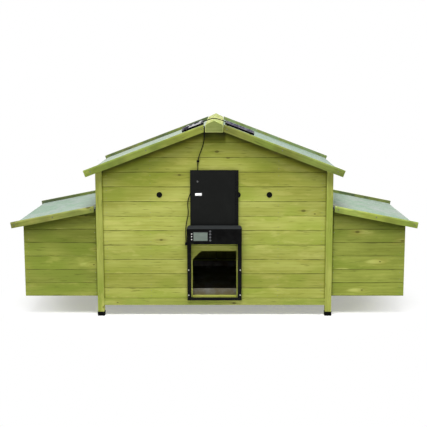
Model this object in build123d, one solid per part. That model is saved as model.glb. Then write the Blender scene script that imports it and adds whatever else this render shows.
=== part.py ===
from build123d import *
import os
from math import acos, cos, pi, radians, sin, sqrt, tan

# A raised poultry house of bevelled boards on four posts, with a gabled felt roof, a nest box on each side
# and a solar-fed opener for the pop hole. Millimetres and degrees.
# X is to the right seen from the front, Y runs from the front to the rear, Z is up from the ground.

# House frame
house_width = 1220.0          # over the corner posts
house_depth = 780.0
post_size = 33.0
foot_height = 22.0
foot_wall = 1.8
foot_sole = 3.0
leg_clear = 57.0              # ground to the underside of the bottom rails
rail_height = 35.0
rail_thickness = 30.0
rail_recess = 3.0             # rail faces behind the post faces
floor_thickness = 9.0

# Wall boards
board_thickness = 12.0
board_recess = 9.0            # wall faces behind the post faces
board_cover = 76.0
first_cover = 55.0            # ripped first board above the rail
board_bevel = 2.2
least_course = 0.3            # a shorter rest at the top joins the board below it
batten_width = 33.0
batten_depth = 20.0
front_batten_x = 330.0

# Main roof, from the top edge of the barge boards downwards
roof_half = 666.0             # middle to the tip of a barge board
eave_height = 767.0           # top corner at that tip
roof_angle = 20.8
barge_height = 35.0
barge_thickness = 18.0
barge_stand = 16.0            # barge edge above the felt
felt_thickness = 2.5
deck_thickness = 12.0
deck_overhang = 26.0          # past the post faces, front and rear
eave_inset = 12.0             # deck and felt short of the barge tips
ridge_width = 90.0
ridge_edge = 13.0             # side of the ridge cap above the felt
ridge_angle = 26.0
ridge_block_height = 58.0
ridge_block_proud = 10.0      # past the barge faces
lead_gap = 8.0                # ridge block to the barge end that the lead passes
barge_gap = 2.0               # ridge block to the other barge ends
ridge_beam_width = 32.0
ridge_beam_height = 60.0

# Nest boxes and their lids
nest_reach = 380.0            # outer wall past the posts
nest_bottom = 102.0
nest_recess = 20.0            # front and rear walls behind the post faces
nest_cover = 71.0
nest_batten = 22.0
nest_floor_lift = 16.0
divider_thickness = 9.0
divider_height = 250.0
divider_y = 120.0
entry_courses = 3             # wall courses left open into the nests
lid_overhang = 60.0           # lid tip past the outer wall
lid_tip_height = 497.0
lid_angle = 11.2
lid_inset = 10.0              # deck and felt short of the edge strip tips
lid_strip_height = 31.0
lid_strip_thickness = 15.0
lid_strip_stand = 16.0
lid_strip_gap = 9.0           # inner ends of the edge strips clear of the posts
lid_deck_thickness = 10.0
lid_side_clear = 1.0          # edge strips clear of the post faces
lid_back_clear = 1.0          # lid clear of the hinge rail
lid_seat = 0.3                # lid clear of the nest walls

# Hinges
knuckle_radius = 3.5
pin_radius = 1.5
pin_clear = 0.06
knuckle_lift = 0.5            # knuckles clear of the face that a leaf lies on
leaf_thickness = 1.5
leaf_width = 34.0
leaf_length = 60.0
leaf_clear = 0.6              # leaf plate clear of the other knuckles
middle_knuckle = 20.0
knuckle_gap = 0.4
lid_hinge_places = (-240.0, 0.0, 240.0)
door_hinge_rise = 80.0        # hinge centres from the ends of a door
hinge_rail_proud = 2.0        # hinge rail past the posts
hinge_rail_drop = 10.0        # rail below the hinge axis
hinge_rail_head = 8.0         # rail above the end of a leaf

# Rear doors, turn button and tray
door_half_width = 310.0
door_courses = 6
door_gap = 1.5
jamb_lap = 12.0               # jamb behind the door edge
door_batten_inset = 30.0      # first batten from the meeting edge
door_batten_gap = 15.0        # second batten clear of the jamb
door_batten_trim = 12.0       # battens short of the door ends
turn_length = 70.0
turn_width = 18.0
turn_thickness = 6.0
turn_pivot_x = 18.0
turn_pivot_radius = 2.5
turn_clear = 0.3
turn_head_radius = 5.5
turn_head_height = 2.4
tray_side_gap = 6.0
tray_face_gap = 3.0           # tray board clear of the posts
tray_face_rise = 2.0          # tray board clear of the rear rail
tray_sheet = 1.0
tray_height = 35.0
tray_front_gap = 6.0          # tray clear of the front battens
tray_lift = 0.3
pull_length = 110.0
pull_thickness = 14.0
pull_reach = 24.0
pull_foot = 16.0

# Roosts
perch_width = 40.0
perch_height = 30.0
perch_round = 6.0
perch_places = (-60.0, 170.0)
perch_clear = 0.5
bracket_lift = 10.0           # above the top of the nest entries
bracket_cheek = 12.5
bracket_height = 44.0
bracket_depth = 18.0
bracket_shelf = 16.0

# Vents
vent_hole = 24.0
vent_lip = 2.5                # flange past the hole
vent_clear = 0.2
vent_flange_thickness = 2.0
vent_rim = 2.0                # dish inside the hole
vent_dish_depth = 1.2
vent_slot_length = 15.0
vent_slot_height = 2.2
vent_slot_pitch = 4.6
vent_rise = 546.0             # above the bottom rails
vent_places = (-283.0, 121.0, 283.0)

# Pop hole and its opener; depths are counted forward from the wall face
hole_half_width = 114.0
hole_height = 252.0           # above the bottom rails
hole_clip = 45.0              # cut corner at the upper left
opener_width = 282.0
channel_width = 20.0
channel_line = 3.0            # shallow groove down the face of a channel
channel_line_depth = 1.0
sill_drop = 7.0               # below the top of the front rail
sill_height = 12.0
plate_engage = 3.0            # plate edge inside a channel
plate_height = 374.0
plate_thickness = 3.0
plate_gap = 9.0               # wall face to the back of the plate
plate_clear = 0.3
plate_side_clear = 0.6
plate_start = 4.0             # raised plate's lower edge above the case underside
case_gap = 45.0               # case underside above the pop hole
case_height = 93.0
case_depth = 32.0
case_wall = 2.5
case_bevel = 14.0
case_corner = 14.0
case_seam = 1.5
case_seam_drop = 2.0          # seam below the bevel
cover_thickness = 3.0
gear_module = 1.5
pressure_angle = 20.0
pinion_teeth = 18
pinion_rise = 50.0            # pinion centre above the case underside
flank_steps = 4
tooth_root = 1.25             # depth of a tooth below its pitch line, in modules
backlash = 0.3
rack_side_gap = 1.0           # back of the rack to the channel
rack_back = 10.0              # pitch line to the back of the rack
rack_thickness = 5.4
rack_clear = 0.6
shaft_radius = 2.5
shaft_clear = 0.06
shaft_grip = 13.0             # shaft inside the gear motor
shaft_end_clear = 0.5
gearbox_half = 22.0
gearbox_depth = 19.0
motor_radius = 9.0
motor_lift = 0.5              # motor clear of the back cover
motor_clear = 2.0             # motor clear of the case floor
display_width = 76.0
display_height = 49.0
display_inset = 70.4          # centre from the left end of the case
display_rise = 40.4           # centre above the case underside
display_clear = 0.2
display_sink = 0.4            # display behind the case face
bezel_border = 2.0
bezel_lap = 2.0
bezel_thickness = 1.2
lamp_inset = 25.0             # from the left end of the case
lamp_rises = (25.2, 40.3, 53.8)
lamp_radius = 3.0
lamp_clear = 0.1
lamp_proud = 0.8
button_inset = 119.8          # from the left end of the case
button_rises = {"up_button": 66.8, "down_button": 51.6, "menu_button": 36.0, "set_button": 20.4}
button_radius = 5.5
button_flange = 1.5           # flange wider than the button
button_flange_thickness = 1.2
button_clear = 0.3
button_play = 0.1
button_proud = 2.0
button_travel = 1.0
switch_half = 3.0
circuit_stand = 4.5           # circuit board behind the inside of the case front
circuit_thickness = 1.6
circuit_border = 5.0          # board past the lamps
circuit_end = 12.0            # board past the buttons
circuit_low = 8.0             # board above the case underside
circuit_height = 69.0
boss_radius = 2.5
boss_inset = 3.0
cell_radius = 7.1
cell_length = 50.0
cell_pitch = 14.6
cell_count = 4
holder_wall = 2.0
holder_inset = 144.0          # from the left end of the case
holder_play = 0.2
screw_rises = (16.0, 149.0)   # above the sill
screw_inset = 7.0             # from the outer side of a channel
screw_radius = 2.0
screw_head_radius = 3.6
screw_head_height = 2.0
screw_head_round = 1.4
screw_grip = 8.0              # into the wall boards
screw_clear = 0.05

# Solar panels: the right one lies along the slope, the left one across it
panel_long = 158.0
panel_short = 117.0
panel_thickness = 10.0
panel_inner_x = 48.0
panel_setback = 38.0          # behind the back of the barge boards
panel_tilt = 3.0
panel_lift = 15.0             # front edge above the felt
panel_border = 9.0
cell_pane = 1.5
wedge_width = 10.0
wedge_inset = 12.0

# Leads
lead_diameter = 4.5
lead_wall_gap = 5.3           # centre of the lead forward of the wall face
bend_share = 0.45             # share of the shorter run that a bend may take
gland_radius = 3.6
gland_reach = 10.0
clip_width = 13.0
clip_height = 10.0
clip_cover = 1.8
clip_clear = 0.3
entry_width = 11.0
entry_depth = 10.0
entry_height = 13.0
# Bends of the lead from the deck's front edge beside the ridge block: to the right, back and up
lead_drape = (
    (-21.0, 34.0, 13.4), (-19.0, 22.0, 12.4), (-11.0, 13.5, 9.2), (-2.5, 7.0, 6.3), (0.0, -4.5, 4.7),
    (0.0, -12.3, -3.3), (0.0, -12.6, -17.3), (-0.4, -9.0, -33.3), (-1.2, 0.5, -48.3), (-2.5, 13.0, -64.3),
    (-6.0, 24.0, -81.3), (-12.0, 29.0, -100.3))
# Bends down the wall: to the right of the opener's left end, and share of the height from case to drape
lead_fall = (
    (72.0, 0.956), (64.5, 0.915), (59.0, 0.876), (56.4, 0.832), (56.8, 0.774), (54.5, 0.713), (48.0, 0.661),
    (39.0, 0.610), (28.0, 0.560), (16.5, 0.513), (8.0, 0.469), (3.5, 0.424), (4.5, 0.378), (7.0, 0.331),
    (5.0, 0.283), (-1.0, 0.236), (-5.5, 0.186), (-7.6, 0.133), (-8.0, 0.081), (-6.0, 0.036), (-6.0, 0.0))
clip_bend_count = 2           # bends of that list above the clip
# Bends of the link: to the right of the middle, behind the deck's front edge and above the ridge
link_arch = (
    (53.0, 137.5, -11.1), (44.5, 136.5, -7.9), (32.0, 135.0, -3.4), (18.0, 133.0, 1.2), (2.0, 132.0, 4.0),
    (-14.0, 132.0, 3.4), (-30.0, 133.5, -2.2), (-44.0, 136.0, -7.7), (-53.0, 137.5, -11.1))

# Places worked out from the sizes above
post_x = house_width / 2
post_y = house_depth / 2
post_in_x = post_x - post_size
post_in_y = post_y - post_size
wall_y = post_y - board_recess
wall_in_y = wall_y - board_thickness
side_x = post_x - board_recess
side_in_x = side_x - board_thickness
rail_top = leg_clear + rail_height
floor_top = rail_top + floor_thickness
course_line = rail_top + first_cover
entry_top = course_line + entry_courses * board_cover
door_top = course_line + door_courses * board_cover
felt_drop = barge_stand
deck_drop = felt_drop + felt_thickness
under_drop = deck_drop + deck_thickness
deck_y = post_y + deck_overhang
barge_y = deck_y + barge_thickness
block_y = barge_y + ridge_block_proud
ridge_half = ridge_width / 2
nest_x = post_x + nest_reach
nest_in_x = nest_x - board_thickness
nest_y = post_y - nest_recess
nest_in_y = nest_y - board_thickness
nest_floor_bottom = nest_bottom + nest_floor_lift
nest_floor_top = nest_floor_bottom + floor_thickness
lid_felt_drop = lid_strip_stand
lid_deck_drop = lid_felt_drop + felt_thickness
lid_under_drop = lid_deck_drop + lid_deck_thickness
lid_y = post_y + lid_side_clear
leaf_stand = knuckle_radius + knuckle_lift
hinge_rail_x = post_x + hinge_rail_proud
hinge_x = hinge_rail_x + leaf_stand
vent_height = rail_top + vent_rise
hole_top = rail_top + hole_height
opener_half = opener_width / 2
channel_in_x = opener_half - channel_width
plate_half = channel_in_x + plate_engage
sill_bottom = rail_top - sill_drop
sill_top = sill_bottom + sill_height
case_bottom = hole_top + case_gap
case_top = case_bottom + case_height
plate_low = case_bottom + plate_start
plate_face = plate_gap + plate_thickness
channel_depth = plate_face + rack_thickness + rack_clear
cover_face = channel_depth + cover_thickness
case_face = cover_face + case_depth
case_inside = case_face - case_wall
circuit_face = case_inside - circuit_stand
rack_line = channel_in_x - rack_side_gap - rack_back
pinion_radius = gear_module * pinion_teeth / 2
pinion_x = rack_line - pinion_radius
pinion_z = case_bottom + pinion_rise
display_x = display_inset - opener_half
display_z = case_bottom + display_rise
lamp_x = lamp_inset - opener_half
button_x = button_inset - opener_half
high = 2 * eave_height        # above everything, for pieces that the roof trims

nodes = {}


def keep(name, shapes):
    """Store the solids of some shapes as one named piece."""
    nodes[name] = Compound([solid for shape in shapes for solid in shape.solids()])


def block(x, y, z):
    """Box between two limits on each axis."""
    limits = (x, y, z)
    centre = [(low + top) / 2 for low, top in limits]
    return Pos(*centre) * Box(*[top - low for low, top in limits])


def along_y(outline, y):
    """Prism of an outline in X and Z, between two Y limits."""
    plane = Plane(origin=(0, y[0], 0), x_dir=(1, 0, 0), z_dir=(0, -1, 0))
    face = plane * make_face(Polyline(*outline, close=True))
    return extrude(face, amount=y[1] - y[0], dir=(0, 1, 0))


def along_x(outline, x):
    """Prism of an outline in Y and Z, between two X limits."""
    return extrude(Plane.YZ.offset(x[0]) * make_face(Polyline(*outline, close=True)), amount=x[1] - x[0])


def rod(start, end, radius):
    """Round bar between two points."""
    run = Vector(*end) - Vector(*start)
    return extrude(Plane(origin=start, z_dir=run) * Circle(radius), amount=run.length)


def mirrored(shapes):
    """The same shapes on the other side of the house."""
    return [mirror(shape, about=Plane.YZ) for shape in shapes]


def both_sides(shapes):
    return list(shapes) + mirrored(shapes)


class Slope:
    """A roof side that falls to the right, measured from the top edge of its edge boards."""

    def __init__(self, tip_x, tip_z, angle):
        self.tip_x = tip_x
        self.tip_z = tip_z
        self.sin = sin(radians(angle))
        self.cos = cos(radians(angle))
        self.tan = tan(radians(angle))

    def z(self, x, drop):
        """Height at x of the line that lies drop below the top edge, square to it."""
        return self.tip_z + (self.tip_x - x) * self.tan - drop / self.cos

    def corner(self, up, drop):
        """Point up the slope from the tip, and drop below the top edge."""
        return (self.tip_x - up * self.cos - drop * self.sin, self.tip_z + up * self.sin - drop * self.cos)

    def strip(self, inner_x, up, top, bottom, y):
        """Panel with a plumb inner end and a square outer end, between two drops and two Y limits."""
        inner = [(inner_x, self.z(inner_x, bottom)), (inner_x, self.z(inner_x, top))]
        return along_y([self.corner(up, top), self.corner(up, bottom)] + inner, y)


roof = Slope(roof_half, eave_height, roof_angle)
lid = Slope(nest_x + lid_overhang, lid_tip_height, lid_angle)
roof_edge = (roof_half, roof.z(roof_half, under_drop))
roof_peak = (0, roof.z(0, under_drop))
roof_outline = [(-roof_half, 0), (roof_half, 0), roof_edge, roof_peak, (-roof_edge[0], roof_edge[1])]
under_roof = along_y(roof_outline, (-house_depth, house_depth))
lid_seat_drop = lid_under_drop + lid_seat
lid_edge = (lid.tip_x, lid.z(lid.tip_x, lid_seat_drop))
lid_outline = [(0, 0), (lid.tip_x, 0), lid_edge, (0, lid.z(0, lid_seat_drop))]
under_lid = along_y(lid_outline, (-house_depth, house_depth))
hinge_z = lid.z(hinge_x, lid_felt_drop) + leaf_stand / lid.cos


def front(depth):
    """Y of a place so far forward of the front wall's face."""
    return -wall_y - depth


def ahead(near, far):
    """Y limits of a layer between two depths forward of the front wall's face."""
    return (front(far), front(near))


def board(x, z):
    """Wall board with its outer face on Y = 0 and bevels along that face."""
    low, top = z
    outline = [(board_bevel, low), (0, low + board_bevel), (0, top - board_bevel), (board_bevel, top)]
    return along_x(outline + [(board_thickness, top), (board_thickness, low)], x)


def courses(bottom, first, cover, top):
    """Lower and upper edges of the boards of a wall."""
    edges = [bottom, bottom + first]
    while edges[-1] + cover * (1 + least_course) < top:
        edges.append(edges[-1] + cover)
    return list(zip(edges, edges[1:] + [top]))


def clad(place, x, rows, trim, cuts=()):
    """Boards of one wall, trimmed under a roof and cut round its openings."""
    boards = [(place * board(x, row)) & trim for row in rows]
    if cuts:
        boards = [piece - list(cuts) for piece in boards]
    return boards


front_wall = Pos(0, -wall_y, 0)
rear_wall = Pos(0, wall_y, 0) * Rot(0, 0, 180)
right_wall = Pos(side_x, 0, 0) * Rot(0, 0, 90)

# Posts, feet, rails and floor
post_bands = ((-post_y, -post_in_y), (post_in_y, post_y))
right_posts = [block((post_in_x, post_x), band, (foot_sole, high)) & under_roof for band in post_bands]
posts = both_sides(right_posts)
keep("corner_posts", posts)

caps = []
cap_x = (post_in_x - foot_wall, post_x + foot_wall)
for low, top in post_bands:
    cup = block(cap_x, (low - foot_wall, top + foot_wall), (0, foot_height))
    caps.append(cup - block((post_in_x, post_x), (low, top), (foot_sole, high)))
keep("foot_caps", both_sides(caps))

rail_band = (post_y - rail_recess - rail_thickness, post_y - rail_recess)
rail_z = (leg_clear, rail_top)
front_rail = block((-post_in_x, post_in_x), (-rail_band[1], -rail_band[0]), rail_z)
rear_rail = block((-post_in_x, post_in_x), rail_band, rail_z)
side_rail_x = (post_x - rail_recess - rail_thickness, post_x - rail_recess)
side_rail = block(side_rail_x, (-post_in_y, post_in_y), rail_z) - [front_rail, rear_rail]
keep("bottom_rails", [front_rail, rear_rail] + both_sides([side_rail]))
keep("floor_panel", [block((-side_in_x, side_in_x), (-wall_in_y, wall_in_y), (rail_top, floor_top)) - posts])

# Front wall with the pop hole, the vents and the holes of the opener's screws
hole_outline = [(-hole_half_width, leg_clear), (hole_half_width, leg_clear), (hole_half_width, hole_top)]
hole_outline += [(-hole_half_width + hole_clip, hole_top), (-hole_half_width, hole_top - hole_clip)]
pop_hole = along_y(hole_outline, (-post_y, -post_in_y))
vent_bores = []
for x in vent_places:
    vent_bores.append(rod((x, -post_y, vent_height), (x, -post_in_y, vent_height), vent_hole / 2))
screw_x = opener_half - screw_inset
screw_spots = [(x, sill_top + rise) for x in (-screw_x, screw_x) for rise in screw_rises]
screw_bores = []
for x, z in screw_spots:
    screw_line = (x, front(channel_depth), z), (x, front(-screw_grip), z)
    screw_bores.append(rod(*screw_line, screw_radius + screw_clear))
wall_rows = courses(rail_top, first_cover, board_cover, roof.z(0, under_drop))
front_cuts = [pop_hole] + vent_bores + screw_bores
keep("front_wall_boards", clad(front_wall, (-post_in_x, post_in_x), wall_rows, under_roof, front_cuts))

# Rear wall with its doorway, and the side walls with the ways into the nests
doorway = block((-door_half_width, door_half_width), (post_in_y, post_y), (rail_top, door_top))
keep("rear_wall_boards", clad(rear_wall, (-post_in_x, post_in_x), wall_rows[1:], under_roof, [doorway]))
side_rows = [(rail_top, course_line)]
side_rows += courses(entry_top, board_cover, board_cover, roof.z(side_in_x, under_drop))
keep("side_wall_boards", both_sides(clad(right_wall, (-post_in_y, post_in_y), side_rows, under_roof)))

# Battens inside the walls: front uprights, door jambs and the posts between the nest entries
front_batten_band = (front_batten_x - batten_width / 2, front_batten_x + batten_width / 2)
front_batten_y = (-wall_in_y, -wall_in_y + batten_depth)
front_batten = block(front_batten_band, front_batten_y, (floor_top, high)) & under_roof
jamb_x = door_half_width - jamb_lap
jamb_y = (wall_in_y - batten_depth, wall_in_y)
jamb = block((jamb_x, jamb_x + batten_width), jamb_y, (course_line + door_gap, high)) & under_roof
entry_posts = []
for y in (-divider_y, divider_y):
    entry_band = (y - nest_batten / 2, y + nest_batten / 2)
    entry_posts.append(block((post_in_x, side_x), entry_band, (course_line, entry_top)))
keep("wall_battens", both_sides([front_batten, jamb] + entry_posts))

# Roosts across the house, each in two open brackets
bracket_z = entry_top + bracket_lift
perch_z = bracket_z + bracket_shelf
bracket_x = (side_in_x - bracket_depth, side_in_x)
slot_half = perch_width / 2 + perch_clear
bracket_half = slot_half + bracket_cheek
perches = []
brackets = []
for y in perch_places:
    perch_band = (y - perch_width / 2, y + perch_width / 2)
    bar = block((-side_in_x, side_in_x), perch_band, (perch_z, perch_z + perch_height))
    perches.append(fillet(bar.edges().filter_by(Axis.X), perch_round))
    cradle = block(bracket_x, (y - bracket_half, y + bracket_half), (bracket_z, bracket_z + bracket_height))
    brackets.append(cradle - block(bracket_x, (y - slot_half, y + slot_half), (perch_z, high)))
keep("roost_perches", perches)
keep("perch_brackets", both_sides(brackets))

# Main roof
beam_half = ridge_beam_width / 2
beam_low = roof.z(beam_half, under_drop) - ridge_beam_height
keep("ridge_beam", [block((-beam_half, beam_half), (-wall_in_y, wall_in_y), (beam_low, high)) & under_roof])
keep("roof_decks", both_sides([roof.strip(0, eave_inset, deck_drop, under_drop, (-deck_y, deck_y))]))
keep("roof_felts", both_sides([roof.strip(0, eave_inset, felt_drop, deck_drop, (-deck_y, deck_y))]))
front_barge = (-barge_y, -deck_y)
rear_barge = (deck_y, barge_y)
barges = both_sides([roof.strip(ridge_half + barge_gap, 0, 0, barge_height, rear_barge)])
barges += [roof.strip(ridge_half + barge_gap, 0, 0, barge_height, front_barge)]
barges += mirrored([roof.strip(ridge_half + lead_gap, 0, 0, barge_height, front_barge)])
keep("barge_boards", barges)

ridge_felt_z = roof.z(ridge_half, felt_drop)
ridge_edge_z = ridge_felt_z + ridge_edge
ridge_top_z = ridge_edge_z + ridge_half * tan(radians(ridge_angle))
ridge_low_z = ridge_top_z - ridge_block_height
ridge_roof = [(-ridge_half, ridge_edge_z), (0, ridge_top_z), (ridge_half, ridge_edge_z)]
ridge_seat = [(ridge_half, ridge_felt_z), (0, roof.z(0, felt_drop)), (-ridge_half, ridge_felt_z)]
keep("ridge_cap", [along_y(ridge_roof + ridge_seat, (-deck_y, deck_y))])
block_outline = ridge_roof + [(ridge_half, ridge_low_z), (-ridge_half, ridge_low_z)]
keep("ridge_end_blocks", [along_y(block_outline, band) for band in ((-block_y, -deck_y), (deck_y, block_y))])

# Louvred vent plugs in the front wall
vents = []
vent_radius = vent_hole / 2
dish_y = front(vent_flange_thickness - vent_dish_depth)
for x in vent_places:
    face = (x, front(vent_flange_thickness), vent_height)
    plug = rod((x, -wall_y, vent_height), (x, -wall_in_y, vent_height), vent_radius - vent_clear)
    plug += rod(face, (x, -wall_y, vent_height), vent_radius + vent_lip)
    plug -= rod(face, (x, dish_y, vent_height), vent_radius - vent_rim)
    for step in (-1, 0, 1):
        slot_z = vent_height + step * vent_slot_pitch
        slot_band = (slot_z - vent_slot_height / 2, slot_z + vent_slot_height / 2)
        plug -= block((x - vent_slot_length / 2, x + vent_slot_length / 2), (-post_y, -post_in_y), slot_band)
    vents.append(plug)
keep("vent_plugs", vents)

# Rails that carry the lid hinges, along the side walls
hinge_rail_band = (hinge_z - hinge_rail_drop, hinge_z + leaf_width + hinge_rail_head)
hinge_rail = block((side_x, hinge_rail_x), (-post_in_y, post_in_y), hinge_rail_band)
keep("lid_hinge_rails", both_sides([hinge_rail]))

# Nest box on the right, then its mirror image
nest_rows = courses(nest_bottom, nest_cover, nest_cover, lid.z(post_x, lid_seat_drop))
outer_rows = courses(nest_bottom, nest_cover, nest_cover, lid.z(nest_in_x, lid_seat_drop))
nest_boards = clad(Pos(0, -nest_y, 0), (post_x, nest_x), nest_rows, under_lid)
nest_boards += clad(Pos(0, nest_y, 0) * Rot(0, 0, 180), (-nest_x, -post_x), nest_rows, under_lid)
nest_boards += clad(Pos(nest_x, 0, 0) * Rot(0, 0, 90), (-nest_in_y, nest_in_y), outer_rows, under_lid)
keep("right_nest_boards", nest_boards)
keep("left_nest_boards", mirrored(nest_boards))

nest_battens = []
for band in ((-nest_in_y, -nest_in_y + nest_batten), (nest_in_y - nest_batten, nest_in_y)):
    nest_battens.append(block((post_x, nest_in_x), band, (nest_bottom, nest_floor_bottom)))
    for x in (post_x, nest_in_x - nest_batten):
        upright = block((x, x + nest_batten), band, (nest_floor_top, high)) & under_lid
        nest_battens.append(upright - hinge_rail)
keep("nest_battens", both_sides(nest_battens))
nest_floor = block((side_x, nest_in_x), (-nest_in_y, nest_in_y), (nest_floor_bottom, nest_floor_top)) - posts
keep("nest_floors", both_sides([nest_floor]))
dividers = []
divider_z = (nest_floor_top, nest_floor_top + divider_height)
for y in (-divider_y, divider_y):
    divider_band = (y - divider_thickness / 2, y + divider_thickness / 2)
    dividers.append(block((side_x, nest_in_x), divider_band, divider_z))
keep("nest_dividers", both_sides(dividers))


def leaf(side, knuckles, pinned):
    """Hinge leaf about the Z axis: a plate towards +X that lies on the face at Y = side * leaf_stand."""
    band = sorted((side * leaf_stand, side * (leaf_stand - leaf_thickness)))
    start = knuckle_radius + leaf_clear
    half = leaf_length / 2
    shape = block((start, leaf_width), band, (-half, half))
    for low, top in knuckles:
        shape += block((0, start + leaf_clear), band, (low, top))
        shape += rod((0, 0, low), (0, 0, top), knuckle_radius)
    if pinned:
        return shape + rod((0, 0, -half), (0, 0, half), pin_radius)
    return shape - rod((0, 0, -half), (0, 0, half), pin_radius + pin_clear)


inner_end = (middle_knuckle - knuckle_gap) / 2
outer_start = inner_end + knuckle_gap
end_knuckles = [(-leaf_length / 2, -outer_start), (outer_start, leaf_length / 2)]
inner_knuckle = [(-inner_end, inner_end)]
lid_leaves = []
fixed_leaves = []
for y in lid_hinge_places:
    axis = Plane(origin=(hinge_x, y, hinge_z), x_dir=(1, 0, 0), z_dir=(0, -1, 0))
    lid_leaves.append(axis * (Rot(0, 0, -lid_angle) * leaf(-1, inner_knuckle, False)))
    fixed_leaves.append(axis * (Rot(0, 0, 90) * leaf(1, end_knuckles, True)))
door_leaves = []
for z in (course_line + door_hinge_rise, door_top - door_hinge_rise):
    axis = Pos(door_half_width, wall_y + leaf_stand, z)
    fixed_leaves.append(axis * leaf(-1, end_knuckles, True))
    door_leaves.append(axis * (Rot(0, 0, 180) * leaf(1, inner_knuckle, False)))
keep("fixed_hinge_leaves", both_sides(fixed_leaves))

# Lids: deck with its edge strips, felt and hinge leaves
lid_in_x = hinge_rail_x + lid_back_clear
strip_in_x = post_x + lid_strip_gap
lid_boards = [lid.strip(lid_in_x, lid_inset, lid_deck_drop, lid_under_drop, (-lid_y, lid_y))]
for band in ((-lid_y - lid_strip_thickness, -lid_y), (lid_y, lid_y + lid_strip_thickness)):
    lid_boards.append(lid.strip(strip_in_x, 0, 0, lid_strip_height, band))
lid_felt = lid.strip(lid_in_x, lid_inset, lid_felt_drop, lid_deck_drop, (-lid_y, lid_y))
keep("right_lid_boards", lid_boards)
keep("right_lid_felt", [lid_felt])
keep("right_lid_hinges", lid_leaves)
keep("left_lid_boards", mirrored(lid_boards))
keep("left_lid_felt", mirrored([lid_felt]))
keep("left_lid_hinges", mirrored(lid_leaves))

# Rear doors: boards in line with the wall, on two battens
door_low = course_line + door_gap
door_high = door_top - door_gap
door_x = (door_gap / 2, door_half_width - door_gap)
door_sheet = block(door_x, (wall_in_y, wall_y), (door_low, door_high))
door_lines = [course_line + step * board_cover for step in range(door_courses + 1)]
door_boards = clad(rear_wall, (-door_half_width, 0), zip(door_lines, door_lines[1:]), door_sheet)
second_batten = jamb_x - door_batten_gap - batten_width
for x in (door_batten_inset, second_batten):
    band_z = (door_low + door_batten_trim, door_high - door_batten_trim)
    door_boards.append(block((x, x + batten_width), jamb_y, band_z))
keep("right_door_boards", door_boards)
keep("left_door_boards", mirrored(door_boards))
keep("left_door_fittings", mirrored(door_leaves))

# Turn button on a board of the right door, free to turn on its pivot
turn_z = course_line + (door_courses // 2 + 0.5) * board_cover
turn_plane = Plane(origin=(turn_pivot_x, wall_y + turn_clear, turn_z), x_dir=(0, 0, 1), z_dir=(0, 1, 0))
button_bar = extrude(turn_plane * SlotOverall(turn_length, turn_width), amount=turn_thickness)
pivot_end = wall_y + turn_thickness + 2 * turn_clear
pivot_line = [(turn_pivot_x, y, turn_z) for y in (wall_y, pivot_end, pivot_end + turn_head_height)]
keep("turn_button", [button_bar - rod(pivot_line[0], pivot_line[1], turn_pivot_radius + pin_clear)])
pivot = rod(pivot_line[0], pivot_line[1], turn_pivot_radius)
pivot += rod(pivot_line[1], pivot_line[2], turn_head_radius)
keep("right_door_fittings", door_leaves + [pivot])

# Droppings tray behind a board that closes the foot of the rear wall
tray_half = post_in_x - tray_side_gap
tray_y = (-wall_in_y + batten_depth + tray_front_gap, wall_in_y)
tray_bottom = floor_top + tray_lift
pan = block((-tray_half, tray_half), tray_y, (tray_bottom, tray_bottom + tray_height))
pan_hollow = block((-tray_half + tray_sheet, tray_half - tray_sheet),
                   (tray_y[0] + tray_sheet, tray_y[1] - tray_sheet), (tray_bottom + tray_sheet, high))
keep("tray_pan", [pan - pan_hollow])
face_half = post_in_x - tray_face_gap
face_z = (rail_top + tray_face_rise, course_line - door_gap)
pull_z = (face_z[0] + face_z[1]) / 2
pull_band = (pull_z - pull_thickness / 2, pull_z + pull_thickness / 2)
pull = block((-pull_length / 2, pull_length / 2), (wall_y, wall_y + pull_reach), pull_band)
pull_half = pull_length / 2 - pull_foot
pull -= block((-pull_half, pull_half), (wall_y, wall_y + pull_reach - pull_thickness), pull_band)
keep("tray_front", [rear_wall * board((-face_half, face_half), face_z), pull])

# Opener frame on the wall: two grooved channels on a sill that is rebated over the front rail
channel_top = case_top - case_corner
channel = block((channel_in_x, opener_half), ahead(0, channel_depth), (sill_top, channel_top))
slide_band = ahead(plate_gap - plate_clear, plate_face + plate_clear)
channel -= block((0, plate_half + plate_side_clear), slide_band, (0, high))
line_x = channel_in_x + channel_width / 2
line_band = (line_x - channel_line / 2, line_x + channel_line / 2)
channel -= block(line_band, ahead(channel_depth - channel_line_depth, channel_depth), (0, case_bottom))
channels = [channel_side - screw_bores for channel_side in both_sides([channel])]
sill = block((-opener_half, opener_half), ahead(0, channel_depth), (sill_bottom, sill_top)) - front_rail
keep("door_channels", channels + [sill])
screws = []
for x, z in screw_spots:
    seat = (x, front(channel_depth), z)
    head = rod(seat, (x, front(channel_depth + screw_head_height), z), screw_head_radius)
    head = fillet(head.edges().sort_by(Axis.Y)[0], screw_head_round)
    screws.append(head + rod(seat, (x, front(-screw_grip), z), screw_radius))
keep("channel_screws", screws)

# Door plate with its rack, shown raised
plate_band = (plate_low, plate_low + plate_height)
keep("door_plate", [block((-plate_half, plate_half), ahead(plate_gap, plate_face), plate_band)])
tooth_pitch = pi * gear_module
lean = tan(radians(pressure_angle))
half_tooth = tooth_pitch / 4 - backlash / 2
root_depth = tooth_root * gear_module
tip_x = rack_line - gear_module
root_x = rack_line + root_depth
below = int((pinion_z - plate_band[0]) / tooth_pitch) - 1
above = int((plate_band[1] - pinion_z) / tooth_pitch) - 1
rack_outline = [(root_x, plate_band[0])]
for step in range(-below, above):
    middle = pinion_z + (step + 0.5) * tooth_pitch
    at_root = half_tooth + root_depth * lean
    at_tip = half_tooth - gear_module * lean
    rack_outline += [(root_x, middle - at_root), (tip_x, middle - at_tip)]
    rack_outline += [(tip_x, middle + at_tip), (root_x, middle + at_root)]
back_x = rack_line + rack_back
rack_outline += [(root_x, plate_band[1]), (back_x, plate_band[1]), (back_x, plate_band[0])]
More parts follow.
